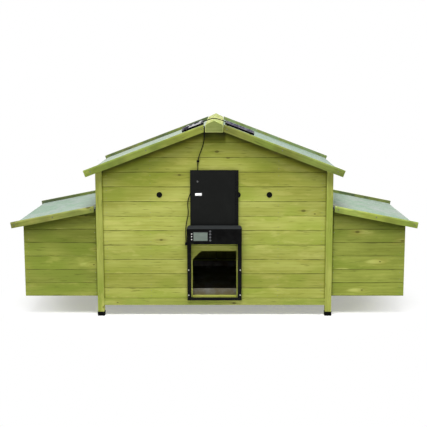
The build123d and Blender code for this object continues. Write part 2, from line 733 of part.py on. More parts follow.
keep("door_rack", [along_y(rack_outline, ahead(plate_face, plate_face + rack_thickness))])

# Pinion on the motor shaft, in mesh with the rack
base_radius = pinion_radius * cos(radians(pressure_angle))
outer_radius = pinion_radius + gear_module
root_radius = pinion_radius - root_depth


def involute(radius):
    """Angle that an involute has unwound through at a radius, in radians."""
    return sqrt((radius / base_radius) ** 2 - 1) - acos(base_radius / radius)


flank = [(root_radius, involute(base_radius))]
for step in range(flank_steps + 1):
    radius = base_radius + (outer_radius - base_radius) * step / flank_steps
    flank.append((radius, involute(radius)))
pitch_half = half_tooth / pinion_radius + involute(pinion_radius)
gear_outline = []
for tooth in range(pinion_teeth):
    middle = 2 * pi * tooth / pinion_teeth
    rising = [(radius, middle - pitch_half + unwound) for radius, unwound in flank]
    falling = [(radius, middle + pitch_half - unwound) for radius, unwound in reversed(flank)]
    for radius, angle in rising + falling:
        gear_outline.append((pinion_x + radius * cos(angle), pinion_z + radius * sin(angle)))
pinion = along_y(gear_outline, ahead(plate_face + rack_clear, channel_depth - rack_clear))
shaft_start = (pinion_x, front(plate_face + rack_clear), pinion_z)
pinion += rod(shaft_start, (pinion_x, front(cover_face + shaft_grip), pinion_z), shaft_radius)
keep("drive_pinion", [pinion])
bore_end = (pinion_x, front(cover_face + shaft_grip + shaft_end_clear), pinion_z)
shaft_bore = rod(shaft_start, bore_end, shaft_radius + shaft_clear)

# Opener case: back cover, bevelled front shell, display, lamps and buttons


def case_section(wall):
    """Side outline of the case in Y and Z, so far inside its outer faces."""
    face = front(case_face - wall)
    bevel = case_bevel - wall * (sqrt(2) - 1)
    low = case_bottom + wall
    top = case_top - wall
    rear = front(cover_face)
    return [(rear, low), (face, low), (face, top - bevel), (face + bevel, top), (rear, top)]


def case_front(wall):
    """Front outline of the case in X and Z, so far inside its outer faces: round corners at the top only."""
    width = opener_width - 2 * wall
    height = case_height - 2 * wall
    middle = (case_bottom + case_top) / 2
    outline = Pos(0, middle) * RectangleRounded(width, height, case_corner - wall)
    return outline + Pos(0, middle - height / 4) * Rectangle(width, height / 2)


def case_layer(wall, near, far):
    """Layer with the front outline of the case, between two depths."""
    plane = Plane(origin=(0, front(near), 0), x_dir=(1, 0, 0), z_dir=(0, -1, 0))
    return extrude(plane * case_front(wall), amount=far - near)


def case_body(wall):
    """Solid of the case, so far inside its outer faces and open at the back."""
    half = opener_half - wall
    return along_x(case_section(wall), (-half, half)) & case_layer(wall, cover_face, case_face)


keep("opener_back_cover", [case_layer(0, channel_depth, cover_face) - shaft_bore])
shell = case_body(0) - case_body(case_wall)
seam_top = case_top - case_bevel - case_seam_drop
seam_band = ahead(case_face - case_seam / 2, case_face)
shell -= block((-opener_half, opener_half), seam_band, (seam_top - case_seam, seam_top))
window_half = (display_width / 2 + display_clear, display_height / 2 + display_clear)
shell -= block((display_x - window_half[0], display_x + window_half[0]), ahead(circuit_face, case_face),
               (display_z - window_half[1], display_z + window_half[1]))
circuit_x = (lamp_x - circuit_border, button_x + circuit_end)
circuit_z = (case_bottom + circuit_low, case_bottom + circuit_low + circuit_height)
for x in (circuit_x[0] + boss_inset, circuit_x[1] - boss_inset):
    for z in (circuit_z[0] + boss_inset, circuit_z[1] - boss_inset):
        shell += rod((x, front(circuit_face), z), (x, front(case_inside), z), boss_radius)
lamps = []
for rise in lamp_rises:
    z = case_bottom + rise
    foot = (lamp_x, front(circuit_face), z)
    shell -= rod(foot, (lamp_x, front(case_face), z), lamp_radius + lamp_clear)
    lamps.append(rod(foot, (lamp_x, front(case_face + lamp_proud), z), lamp_radius))
keep("status_lamps", lamps)
circuit_back = circuit_face - circuit_thickness
circuit = block(circuit_x, ahead(circuit_back, circuit_face), circuit_z)
flange_front = case_inside - button_play
flange_back = flange_front - button_flange_thickness
for name, rise in button_rises.items():
    z = case_bottom + rise
    face = (button_x, front(case_face), z)
    back = (button_x, front(flange_back), z)
    shell -= rod((button_x, front(circuit_face), z), face, button_radius + button_clear)
    cap = rod(back, (button_x, front(case_face + button_proud), z), button_radius)
    cap = fillet(cap.edges().sort_by(Axis.Y)[0], button_proud / 2)
    rim = rod(back, (button_x, front(flange_front), z), button_radius + button_flange)
    keep(name, [cap + rim])
    switch_top = flange_back - button_travel - button_play
    switch_x = (button_x - switch_half, button_x + switch_half)
    circuit += block(switch_x, ahead(circuit_face, switch_top), (z - switch_half, z + switch_half))
keep("circuit_board", [circuit])
keep("opener_case", [shell])
display_x_band = (display_x - display_width / 2, display_x + display_width / 2)
display_z_band = (display_z - display_height / 2, display_z + display_height / 2)
keep("display_pane", [block(display_x_band, ahead(circuit_face, case_face - display_sink), display_z_band)])
bezel_band = ahead(case_face, case_face + bezel_thickness)
bezel = block([display_x_band[0] - bezel_border, display_x_band[1] + bezel_border], bezel_band,
              [display_z_band[0] - bezel_border, display_z_band[1] + bezel_border])
bezel -= block([display_x_band[0] + bezel_lap, display_x_band[1] - bezel_lap], bezel_band,
               [display_z_band[0] + bezel_lap, display_z_band[1] - bezel_lap])
keep("display_bezel", [bezel])

# Inside the case: gear motor on the back cover, and a battery pack beside it
gearbox_x = (pinion_x - gearbox_half, pinion_x + gearbox_half)
gearbox_z = (pinion_z - gearbox_half, pinion_z + gearbox_half)
gearbox = block(gearbox_x, ahead(cover_face, cover_face + gearbox_depth), gearbox_z)
motor_y = front(cover_face + motor_lift + motor_radius)
motor_low = case_bottom + case_wall + motor_clear
gearbox += rod((pinion_x, motor_y, motor_low), (pinion_x, motor_y, gearbox_z[0]), motor_radius)
keep("gear_motor", [gearbox - shaft_bore])
holder_depth = holder_wall + 2 * cell_radius + holder_play
holder_width = (cell_count - 1) * cell_pitch + 2 * (cell_radius + holder_play + holder_wall)
holder_x = holder_inset - opener_half
holder_y = ahead(cover_face, cover_face + holder_depth)
holder_low = case_bottom + case_wall
holder_high = holder_low + cell_length + 2 * (holder_wall + holder_play)
pocket_x = (holder_x + holder_wall, holder_x + holder_width - holder_wall)
pocket_y = ahead(cover_face + holder_wall, case_face)
holder = block((holder_x, holder_x + holder_width), holder_y, (holder_low, holder_high))
holder -= block(pocket_x, pocket_y, (holder_low + holder_wall, holder_high - holder_wall))
cells = []
cell_y = front(cover_face + holder_wall + holder_play + cell_radius)
cell_low = holder_low + holder_wall + holder_play
for step in range(cell_count):
    x = pocket_x[0] + holder_play + cell_radius + step * cell_pitch
    cells.append(rod((x, cell_y, cell_low), (x, cell_y, cell_low + cell_length), cell_radius))
keep("battery_pack", [holder] + cells)


def solar_panel(length, depth):
    """Framed panel on two wedges, on the right slope: its frame, cell pane and wedges."""
    felt_z = roof.z(panel_inner_x, felt_drop)
    place = Plane(origin=(panel_inner_x, -deck_y + panel_setback, felt_z),
                  x_dir=(roof.cos, 0, -roof.sin), z_dir=(roof.sin, 0, roof.cos))
    tilt = Pos(0, 0, panel_lift) * Rot(panel_tilt, 0, 0)
    inside = ((panel_border, length - panel_border), (panel_border, depth - panel_border))
    frame = block((0, length), (0, depth), (0, panel_thickness))
    pane = block(*inside, (panel_thickness - cell_pane, panel_thickness))
    rear_y = depth * cos(radians(panel_tilt)) - wedge_inset
    rise = tan(radians(panel_tilt))
    heights = (panel_lift + wedge_inset * rise, panel_lift + rear_y * rise)
    side = [(wedge_inset, 0), (rear_y, 0), (rear_y, heights[1]), (wedge_inset, heights[0])]
    starts = (wedge_inset, length - wedge_inset - wedge_width)
    wedges = [place * along_x(side, (x, x + wedge_width)) for x in starts]
    return place * (tilt * (frame - pane)), place * (tilt * pane), wedges


right_frame, right_pane, right_wedges = solar_panel(panel_long, panel_short)
left_frame, left_pane, left_wedges = solar_panel(panel_short, panel_long)
left_frame, left_pane = mirrored([left_frame, left_pane])
keep("solar_panels", [right_frame, left_frame])
keep("solar_cells", [right_pane, left_pane])
keep("solar_wedges", right_wedges + mirrored(left_wedges))


def cord(name, points):
    """Lead along straight runs and tangent arcs, each arc as large as its two runs allow."""
    spots = [Vector(*point) for point in points]
    runs = [after - before for before, after in zip(spots, spots[1:])]
    radii = []
    for before, after in zip(runs, runs[1:]):
        turn = radians(before.get_angle(after))
        radii.append(bend_share * min(before.length, after.length) / tan(turn / 2))
    path = FilletPolyline(*points, radius=radii)
    tube = sweep(Plane(origin=points[0], z_dir=runs[0]) * Circle(lead_diameter / 2), path=path)
    volume = pi * lead_diameter ** 2 / 4 * path.length
    print(name, "length", round(path.length, 1), "volume ratio", round(tube.volume / volume, 5))
    print(name, "radii", [round(radius, 1) for radius in radii])
    return tube


def gland(end, following, carrier):
    """Bush round the end of a lead, let into the face of what carries it."""
    run = (Vector(*end) - Vector(*following)).normalized() * gland_reach
    return rod(end, tuple(Vector(*end) + run), gland_radius) - carrier


# Lead from the left panel through the gap beside the ridge block, down the wall and behind the door plate
lead_y = front(lead_wall_gap)
edge_x = ridge_half + lead_gap / 2
edge_z = roof.z(edge_x, felt_drop)
lead_points = [(x - edge_x, y - deck_y, z + edge_z) for x, y, z in lead_drape]
fall_height = lead_points[-1][2] - case_bottom
fall_points = [(x - opener_half, lead_y, case_bottom + share * fall_height) for x, share in lead_fall]
lead_points += fall_points
keep("control_lead", [cord("control_lead", lead_points)])

# Link between the panels, arched over the ridge cap
link_points = [(x, y - deck_y, z + ridge_top_z) for x, y, z in link_arch]
keep("panel_link", [cord("panel_link", link_points)])

# Glands on the panels, entry boss on the left channel and a clip on the wall
fittings = [gland(lead_points[0], lead_points[1], left_frame)]
fittings.append(gland(link_points[0], link_points[1], right_frame))
fittings.append(gland(link_points[-1], link_points[-2], left_frame))
boss_x = (-opener_half - entry_width, -opener_half)
boss_y = (lead_y - entry_depth / 2, lead_y + entry_depth / 2)
fittings.append(block(boss_x, boss_y, (case_bottom - entry_height, case_bottom)))
clip_reach = lead_wall_gap + lead_diameter / 2 + clip_cover
clipped_run = fall_points[clip_bend_count:clip_bend_count + 2]
clip_at = (Vector(*clipped_run[0]) + Vector(*clipped_run[1])) / 2
clip = block((clip_at.X - clip_width / 2, clip_at.X + clip_width / 2), ahead(0, clip_reach),
             (clip_at.Z - clip_height / 2, clip_at.Z + clip_height / 2))
fittings.append(clip - rod(*clipped_run, lead_diameter / 2 + clip_clear))
keep("cable_fittings", fittings)

os.makedirs("parts", exist_ok=True)
for name, shape in nodes.items():
    export_step(shape, f"parts/{name}.step")
print(len(nodes), "pieces")
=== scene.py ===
# %% [markdown]
# # A raised poultry house with a solar door opener
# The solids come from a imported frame: posts, boards, roofs, hinges and the opener, each at its real size
# and riding on its own body. This lesson dresses them. It gives every surface a finish worked out from
# formulas, and adds what is too small or too soft for solids: leads, nails, screws, a label, a stud and
# draught strips.

# %% Load the frame
from math import cos, degrees, pi, radians, sin, tan

import bpy
import numpy as np
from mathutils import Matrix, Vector


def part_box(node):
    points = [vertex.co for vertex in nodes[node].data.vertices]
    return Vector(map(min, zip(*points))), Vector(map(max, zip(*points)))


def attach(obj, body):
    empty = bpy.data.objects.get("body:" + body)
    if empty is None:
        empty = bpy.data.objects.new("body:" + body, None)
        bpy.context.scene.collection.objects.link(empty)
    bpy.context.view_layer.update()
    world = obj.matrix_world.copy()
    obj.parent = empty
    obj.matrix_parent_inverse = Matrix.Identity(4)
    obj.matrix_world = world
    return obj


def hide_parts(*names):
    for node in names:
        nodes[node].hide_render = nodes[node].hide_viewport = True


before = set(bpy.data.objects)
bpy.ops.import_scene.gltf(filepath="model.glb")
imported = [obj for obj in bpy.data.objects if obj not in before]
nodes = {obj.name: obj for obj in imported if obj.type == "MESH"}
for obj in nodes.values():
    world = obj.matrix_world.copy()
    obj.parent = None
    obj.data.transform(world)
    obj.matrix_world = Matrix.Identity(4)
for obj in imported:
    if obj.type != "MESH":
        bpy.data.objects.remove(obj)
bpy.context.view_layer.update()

# %% [markdown]
# ## Camera
# A product picture of a long, low object is taken from far off with a long lens, so that the walls stay
# upright. A camera could be placed by eye, but corners of the house with known sizes give it exactly: its
# place, its dip and its lens follow from where they fall in the picture. The picture was cropped a little
# off its axis, which a small shift repeats.

# %% Place the camera
picture_width = 427.0          # pixels
focal_length = 898.7           # pixels
axis_offset = 12.8             # pixels that the lens axis lies right of the picture's middle
camera_place = (0.0614, -4.9628, 1.2511)
camera_dip = radians(8.812)


def add_object(name, data):
    """An object of some data, put in the scene."""
    made = bpy.data.objects.new(name, data)
    bpy.context.scene.collection.objects.link(made)
    return made


eye = bpy.data.cameras.new("eye")
eye.lens = eye.sensor_width * focal_length / picture_width
eye.shift_x = -axis_offset / picture_width
camera = add_object("eye", eye)
camera.location = camera_place
camera.rotation_euler = (pi / 2 - camera_dip, 0, 0)
bpy.context.scene.camera = camera
print("lens", round(eye.lens, 2), "mm, dip", round(degrees(camera_dip), 2), "degrees")

# %% [markdown]
# ## Leads
# One lead runs from the left panel, through the gap beside the ridge block, down the wall and behind the
# door plate to the opener. A short link joins the two panels over the ridge. A lead could be a bent tube,
# but a thin sheathed lead never shows corners, so each is a NURBS curve with a round bevel, and its control
# points are the bends.

# %% Lay the leads
lead_diameter = 0.0045
lead_wall_y = -0.3863          # middle of the lead where it lies on the wall
lead_bends = [
    (-0.0700, -0.3820, 0.9977), (-0.0680, -0.3940, 0.9967), (-0.0600, -0.4025, 0.9935),
    (-0.0515, -0.4090, 0.9906), (-0.0490, -0.4205, 0.9890), (-0.0490, -0.4283, 0.9810),
    (-0.0490, -0.4286, 0.9670), (-0.0494, -0.4250, 0.9510), (-0.0502, -0.4155, 0.9360),
    (-0.0515, -0.4030, 0.9200), (-0.0550, -0.3920, 0.9030), (-0.0610, -0.3870, 0.8840)]
wall_bends = [                 # across and up
    (-0.0690, 0.8622), (-0.0765, 0.8419), (-0.0820, 0.8226), (-0.0846, 0.8008), (-0.0842, 0.7721),
    (-0.0865, 0.7419), (-0.0930, 0.7162), (-0.1020, 0.6909), (-0.1130, 0.6662), (-0.1245, 0.6429),
    (-0.1330, 0.6211), (-0.1375, 0.5989), (-0.1365, 0.5761), (-0.1340, 0.5528), (-0.1360, 0.5291),
    (-0.1420, 0.5058), (-0.1465, 0.4811), (-0.1486, 0.4548), (-0.1490, 0.4291), (-0.1470, 0.4068),
    (-0.1470, 0.3890)]
lead_bends += [(x, lead_wall_y, z) for x, z in wall_bends]
link_bends = [
    (0.0530, -0.2785, 1.0096), (0.0445, -0.2795, 1.0128), (0.0320, -0.2810, 1.0173),
    (0.0180, -0.2830, 1.0219), (0.0020, -0.2840, 1.0247), (-0.0140, -0.2840, 1.0241),
    (-0.0300, -0.2825, 1.0185), (-0.0440, -0.2800, 1.0130), (-0.0530, -0.2785, 1.0096)]


def lay_lead(name, bends, node):
    """A round lead along the smooth curve that the bends steer, in place of a frame node."""
    curve = bpy.data.curves.new(name, "CURVE")
    curve.dimensions = "3D"
    curve.bevel_depth = 1.0    # times the radius of each bend
    curve.bevel_resolution = 5
    curve.resolution_u = 8
    spline = curve.splines.new("NURBS")
    spline.points.add(len(bends) - 1)
    spline.points.foreach_set("co", np.column_stack([bends, np.ones(len(bends))]).ravel())
    spline.points.foreach_set("radius", np.full(len(bends), lead_diameter / 2))
    spline.order_u = 3
    spline.use_endpoint_u = True
    lead = add_object(name, curve)
    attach(lead, "house")
    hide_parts(node)
    return lead


control_cord = lay_lead("control_cord", lead_bends, "control_lead")
link_cord = lay_lead("link_cord", link_bends, "panel_link")
print("leads of", len(lead_bends), "and", len(link_bends), "bends")

# %% [markdown]
# ## Shader sums as Python sums
# Every finish here is a network of nodes. Wiring them one by one hides the formula, so a small class wraps
# a socket: adding or multiplying two wires adds the Math node, and one method adds any other kind of node.

# %% Wire class


def operator(operation):
    """Two methods of a Math operation: with the wire first, and with the wire second."""
    def first(wire, other):
        return wire.maths(operation, wire, other)

    def second(wire, other):
        return wire.maths(operation, other, wire)

    return first, second


class Wire:
    """One output socket of a node tree. Sums of wires add Math nodes, and node() adds any other node."""

    def __init__(self, tree, socket=None):
        self.tree = tree
        self.socket = socket

    def node(self, kind, settings=(), inputs=(), output=0):
        """Add a node: settings first, then a value or a wire for each input. Returns one output."""
        made = self.tree.nodes.new("ShaderNode" + kind)
        for key, value in dict(settings).items():
            setattr(made, key, value)
        for key, value in dict(inputs).items():
            if isinstance(value, Wire):
                self.tree.links.new(value.socket, made.inputs[key])
            else:
                made.inputs[key].default_value = value
        return Wire(self.tree, made.outputs[output])

    def other(self, output):
        """Another output of the same node."""
        return Wire(self.tree, self.socket.node.outputs[output])

    def maths(self, operation, *values):
        """Math node of an operation on some values."""
        return self.node("Math", {"operation": operation}, enumerate(values))

    __add__, __radd__ = operator("ADD")
    __sub__, __rsub__ = operator("SUBTRACT")
    __mul__, __rmul__ = operator("MULTIPLY")
    __truediv__, __rtruediv__ = operator("DIVIDE")
    __pow__, __rpow__ = operator("POWER")
    __gt__ = operator("GREATER_THAN")[0]
    __lt__ = operator("LESS_THAN")[0]

    def __abs__(self):
        return self.maths("ABSOLUTE", self)

    def floor(self):
        return self.maths("FLOOR", self)

    def fraction(self):
        return self.maths("FRACT", self)

    def to_whole(self):
        """Distance to the nearest whole number."""
        part = self.fraction()
        return part.maths("MINIMUM", part, 1.0 - part)

    def sine(self):
        return self.maths("SINE", self)

    def parts(self):
        """The three numbers of a vector or a colour."""
        split = self.node("SeparateXYZ", (), {0: self})
        return split, split.other(1), split.other(2)

    def joined(self, x, y, z):
        """Vector of three numbers, in this wire's tree."""
        return self.node("CombineXYZ", (), {0: x, 1: y, 2: z})

    def ramp(self, low, high, to_low=0.0, to_high=1.0):
        """Smooth step of this value between two limits, which may fall as well as rise."""
        inputs = {"Value": self, "From Min": low, "From Max": high, "To Min": to_low, "To Max": to_high}
        return self.node("MapRange", {"interpolation_type": "SMOOTHSTEP"}, inputs)

    def noise(self, scale, detail=2.0, roughness=0.5):
        """Cloud pattern at this place, about 0 to 1."""
        inputs = {"Vector": self, "Scale": scale, "Detail": detail, "Roughness": roughness}
        return self.node("TexNoise", (), inputs)

    def cells(self, scale, dimensions="3D"):
        """Voronoi cells at this place: distance, then colour and centre as the other outputs."""
        return self.node("TexVoronoi", {"voronoi_dimensions": dimensions}, {"Vector": self, "Scale": scale})

    def tint(self, first, second):
        """Mix two colours by this wire."""
        colours = [colour if isinstance(colour, Wire) else (*colour, 1.0) for colour in (first, second)]
        return self.node("Mix", {"data_type": "RGBA"}, {0: self, 6: colours[0], 7: colours[1]}, 2)

    def scaled(self, value):
        """This colour or vector times a number."""
        return self.node("VectorMath", {"operation": "SCALE"}, {0: self, "Scale": value})

    def times(self, other):
        """This colour times another, channel by channel."""
        return self.node("VectorMath", {"operation": "MULTIPLY"}, {0: self, 1: other})

    def bump(self, strength, distance):
        """Normal of a surface with this height."""
        return self.node("Bump", (), {"Strength": strength, "Distance": distance, "Height": self})


def new_finish(name):
    """A material, a wire to its Object coordinates and its shader."""
    material = bpy.data.materials.new(name)
    material.use_nodes = True
    shader = material.node_tree.nodes["Principled BSDF"]
    place = Wire(material.node_tree).node("TexCoord", (), (), "Object")
    return material, place, shader


def set_shader(shader, **values):
    """Set the shader's sockets, named with _ for spaces, to values or wires."""
    for key, value in values.items():
        socket = shader.inputs[key.replace("_", " ")]
        if isinstance(value, Wire):
            value.tree.links.new(value.socket, socket)
        elif isinstance(value, tuple):
            socket.default_value = (*value, 1.0)
        else:
            socket.default_value = value


def dress(material, *names):
    """Give a finish to frame nodes."""
    for name in names:
        nodes[name].data.materials.clear()
        nodes[name].data.materials.append(material)


def toned(colour, share):
    """A colour times a number, or channel by channel times three."""
    return tuple(np.multiply(colour, share))


print("wire class ready")

# %% [markdown]
# ## Pine
# The boards are planed pine under a yellow-green stain. The real wood shows fine fibres, wider streaks,
# rings that bend round knots, and boards that differ a little from each other. An image would repeat and
# would not follow the cut of each board, so the grain is worked out in board coordinates: along the fibres,
# across them and into the wood. A lay says which axis is which on a piece, and numbers its boards.

# %% Lays: the axes of the boards
board_cover = 0.076            # height that a wall board covers
board_line = 0.147             # height of a line between two wall boards
nest_cover = 0.071             # the same two on the nest boxes
nest_line = 0.102
deck_cover = 0.095             # width of the deck boards
roof_angle = radians(20.8)
lid_angle = radians(11.2)
outer_wall_y = 0.358           # half the width of a nest's outer wall
door_back = 0.3689             # inner face of the rear doors' boards: what lies deeper is a batten
rail_back = 0.357              # inner faces of the front and rear rails
post_reach = 0.45              # uprights further out are posts
strip_back = 0.391             # inner face of the edge strips of a lid
strip_skin = 0.0005            # layer of the lid's boards there that is drawn as strip
strip_start = 0.619            # reach at which those strips begin
roof_tip = (0.666, 0.767)      # reach and height of the lower end of the main roof's top edge
lid_tip = (1.050, 0.497)       # the same of a lid
barge_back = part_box("roof_felts")[1].y    # inner face of the barge boards, where the felt ends
block_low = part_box("ridge_end_blocks")[0].z
block_half, block_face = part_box("ridge_end_blocks")[1].x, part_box("ridge_end_blocks")[1].y
loose = 1.0                    # distance to a groove where there is none
first_course = 8.0             # number of the board above the line
far_side = 40.0                # added to the numbers on the right or at the rear
roof_side = 60.0               # the same on the roofs
nest_end = 80.0                # added at the front of a nest box, and twice at its rear
batten_number = 90.0
strip_number = 120.0


def side(value):
    """0 or 1 for the two sides of the house."""
    return value > 0.0


def courses(height, line, cover):
    """Board number and distance to the nearest groove at a height."""
    course = (height - line) / cover + first_course
    return course.floor(), course.to_whole() * cover


def choice(mask, yes, no):
    """One of two values, by a mask of 0 or 1."""
    return mask * yes + (1.0 - mask) * no


def down_slope(x, z, angle):
    """Distance down a slope and height square to it, the same on both sides of the house."""
    reach = abs(x)
    return reach * cos(angle) - z * sin(angle), reach * sin(angle) + z * cos(angle)


def wall_lay(x, y, z):
    """Boards along X, one above the other."""
    number, groove = courses(z, board_line, board_cover)
    return x, z, y, number + side(y) * far_side, groove


def door_lay(x, y, z):
    """Boards along X on upright battens."""
    number, groove = courses(z, board_line, board_cover)
    batten = y < door_back
    numbers = choice(batten, batten_number, number) + side(x) * far_side
    return choice(batten, z, x), choice(batten, x, z), y, numbers, groove + batten


def side_wall_lay(x, y, z):
    """Boards along Y, one above the other."""
    number, groove = courses(z, board_line, board_cover)
    return y, z, x, number + side(x) * far_side, groove


def nest_lay(x, y, z):
    """Boards along X at the front and rear of a nest box, and along Y on its outer wall."""
    number, groove = courses(z, nest_line, nest_cover)
    outer = abs(y) < outer_wall_y
    number = number + side(x) * far_side + (1.0 - outer) * (side(y) + 1.0) * nest_end
    return choice(outer, y, x), z, choice(outer, x, y), number, groove


def upright_lay(x, y, z):
    """Posts and battens, each with its own number."""
    return z, x, y, side(x) + side(y) * 2.0 + (abs(x) > post_reach) * 4.0, loose


def rail_lay(x, y, z):
    """Rails along X at the front and rear, and along Y at the sides."""
    front = abs(y) > rail_back
    number = choice(front, side(y) + 1.0, side(x) + 5.0)
    return choice(front, x, y), z, choice(front, y, x), number, loose


def beam_lay(x, y, z):
    """Single pieces along Y."""
    return y, x, z, side(x), loose


def bar_lay(x, y, z):
    """Single pieces along X."""
    return x, z, y, side(y), loose


def barge_lay(x, y, z):
    """Boards down both slopes of the main roof."""
    down, height = down_slope(x, z, roof_angle)
    return down, height, y, side(x) + side(y) * 2.0, loose


def deck_lay(x, y, z):
    """Boards along Y that cover the main roof, side by side."""
    down, height = down_slope(x, z, roof_angle)
    return y, down, height, (down / deck_cover).floor() + side(x) * roof_side, loose


def lid_lay(x, y, z):
    """Lid boards along Y, between edge strips down the slope."""
    down, height = down_slope(x, z, lid_angle)
    strip = abs(y) > strip_back - strip_skin
    number = choice(strip, side(y) + strip_number, (down / deck_cover).floor()) + side(x) * roof_side
    return choice(strip, down, y), choice(strip, height, down), choice(strip, y, height), number, loose


print("lays ready, wall boards every", board_cover, "m")

# %% [markdown]
# ## Tone and painted shade
# Boards differ in tone, and painted shade darkens them under the eaves, the lids and the ridge block, by
# the posts and on the faces of the roof edges towards the felt. A painted highlight lies along the top of
# the roof boards at the front. Painted by hand this would have to be redone for each piece, so every effect
# is a function of the place on the house. One kind gives a colour factor, the other a share of painted
# shade and its colour.

# %% Tone and painted shade on the boards
# painted shade on the faces of the roof edges turned towards the felt
inner_face_shade = (0.046, 0.074, 0.052)
right_inner_shade = (0.20, 0.29, 0.16)  # painted shade of the inner faces on the right, lighter than on the left
# end grain, darkened further as painted shade
end_grain_shade = (0.042, 0.070, 0.014)
# painted shade in the gaps by the posts
corner_shade = (0.014, 0.017, 0.010)
end_share = 1.3                # shares over 1, since the streaks of the wood take a part of them away
corner_shade_share = 2.5
shade_blue = 0.25              # share of the blue kept where the painted shade is deepest
eaves_apex = 0.985             # height of the underside of the roof, carried on to the middle of the house
lid_apex = 0.705               # height of the top of the lids, carried on to the middle of the house
post_inner = 0.577             # reach of the posts' inner faces
post_outer = 0.610             # and of their outer faces
face_skin = 0.0004             # thickness of the layer that counts as a face


def shade_patches(x, y):
    """Share of painted shade, in patches along a roof's edge."""
    return x.joined(x * 15.0, y, 0.0).noise(1.0, 2.0).ramp(0.40, 0.60, 0.45, 1.45)


def barge_inner(x, y, z):
    """Painted shade on the barge boards' faces towards the felt: darker on the left, lighter on the right.
    """
    inner = abs(y) < barge_back + face_skin
    return inner * shade_patches(x, y), x.ramp(-0.1, 0.1).tint(inner_face_shade, right_inner_shade)


def strip_inner(x, y, z):
    """Painted shade on a lid's edge strips where they face its felt, darker in the corners by the posts."""
    inner = (abs(y) > strip_back - face_skin) * (abs(y) < strip_back + face_skin)
    # painted shade in the corners by the posts
    corner = abs(x) < strip_start
    share = choice(corner, corner_shade_share, shade_patches(x, y) * 0.7 + 0.6)
    return inner * share, corner.tint(inner_face_shade, corner_shade)


def block_end(x, y, z):
    """End grain of the ridge blocks, darkened further as painted shade, inside a rim at their edges, pale
    from wear.
    """
    inside = abs(x).ramp(block_half, block_half - 0.004) * z.ramp(block_low, block_low + 0.004)
    return (abs(y) > block_face - face_skin) * inside * end_share, end_grain_shade


def shade_tint(light):
    """Colour factor for a lightness: where it is low, as in painted shade, blue drops and the wood turns
    olive.
    """
    return light.joined(light, light, light * light.ramp(0.15, 0.95, shade_blue, 1.0))


def wall_tone_and_shade(x, y, z):
    """Colour factor of the walls: lighter in the middle, in the gable and at the foot.

    Painted shade darkens them under the eaves, beside the posts and under the ridge block.
    """
    below_eaves = abs(x) * -tan(roof_angle) - z + eaves_apex
    middle = z.ramp(0.16, 0.42) * z.ramp(0.74, 0.56)
    gable = z.ramp(0.750, 0.775) * below_eaves.ramp(0.09, 0.16)
    board_tone = middle * 0.24 + gable * 0.22 + 0.75 + (z < board_line) * 0.17
    # painted shade under the eaves, darkest at the roof's edge
    eaves = below_eaves.ramp(0.005, 0.055, 0.20, 1.0) * below_eaves.ramp(0.06, 0.14, 0.97, 0.83)
    # lighter further below the eaves, where that painted shade ends
    lower = below_eaves.ramp(0.17, 0.30, 1.0, 1.16)
    # painted shadow under the ridge block
    block = 1.0 - abs(x).ramp(0.065, 0.050) * z.ramp(0.895, 0.925) * 0.65
    # painted shade beside the posts
    corner = abs(x).ramp(post_inner, post_inner - 0.010, 0.60, 1.0)
    return shade_tint(board_tone * lower * eaves * block * corner)


def nest_tone_and_shade(x, y, z):
    """Nest boxes: paler at the foot and on the right, with painted shade under their lids and by the posts.

    At the top of the right one a painted shadow fills the joint by the post.
    """
    below_lid = abs(x) * -tan(lid_angle) - z + lid_apex
    # painted shade under the lid, and lighter towards the foot
    light = below_lid.ramp(0.035, 0.078, 0.42, 1.0) * z.ramp(0.42, 0.24, 0.82, 1.02)
    # painted shade beside the posts, and the right nest a little lighter
    corner = abs(x).ramp(post_outer, post_outer + 0.012, 0.55, 1.0) * x.ramp(-0.1, 0.1, 0.95, 1.02)
    # painted shadow in the joint by the post, at the top of the right nest
    by_post = abs(x).ramp(post_outer + 0.005, post_outer + 0.010, 0.8, 0.0)
    seam_shadow = 1.0 - side(x) * by_post * z.ramp(0.38, 0.48)
    return shade_tint(light * corner * seam_shadow)


def edge_tone_and_highlight(tip, angle, left):
    """Function for a roof's edge boards: patchy, browner on the left, painted highlight along the top edge.

    left is the lightness of the left side.
    """
    top = tip[0] * sin(angle) + tip[1] * cos(angle)

    def bleach(x, y, z):
        height = down_slope(x, z, angle)[1]
        patch = x.joined(x * 9.0, y * 9.0, z * 9.0).noise(1.0, 2.0)
        warm = x.joined(x * 6.0, y * 6.0, 4.0).noise(1.0, 1.0).ramp(0.35, 0.65, 0.94, 1.08)
        # painted highlight along the top edge, strong at the front and faint at the rear
        top_highlight = height.ramp(top - 0.010, top - 0.003) * y.ramp(-0.1, 0.1, 1.0, 0.2)
        light = patch.ramp(0.35, 0.65, 0.80, 1.18) * (top_highlight * 0.45 + 1.0) * x.ramp(-0.1, 0.1, left, 1.0)
        return x.joined(light * warm * x.ramp(-0.2, 0.2, 1.04, 0.99), light, light * (top_highlight * 0.25 + 1.0))

    return bleach


print("weather ready")

# %% [markdown]
# ## Grain
# Grain is drawn from board coordinates. Stretched clouds make fibres and streaks, a sine of the distance
# across the board makes the rings, and Voronoi cells place the knots: near a knot the rings are pushed
# aside, as the tree grew round its branch. Each board gets its own luck from its number, so that no two
# boards match.

# %% Pine finish
wood_gloss = 0.15
ring_spacing = 0.017
knot_rate_along = 2.8          # knot places per metre of board
knot_rate_across = 9.0
knot_bare = 0.38               # share of those places without a knot
knot_brown = (0.085, 0.078, 0.014)
knot_amber = (0.31, 0.28, 0.050)
sapwood = (0.43, 0.45, 0.115)  # pale wood beside knots
groove_dirt = (0.085, 0.088, 0.018)
painted_shade_depth = 0.58            # most that a face takes of its painted shade colour
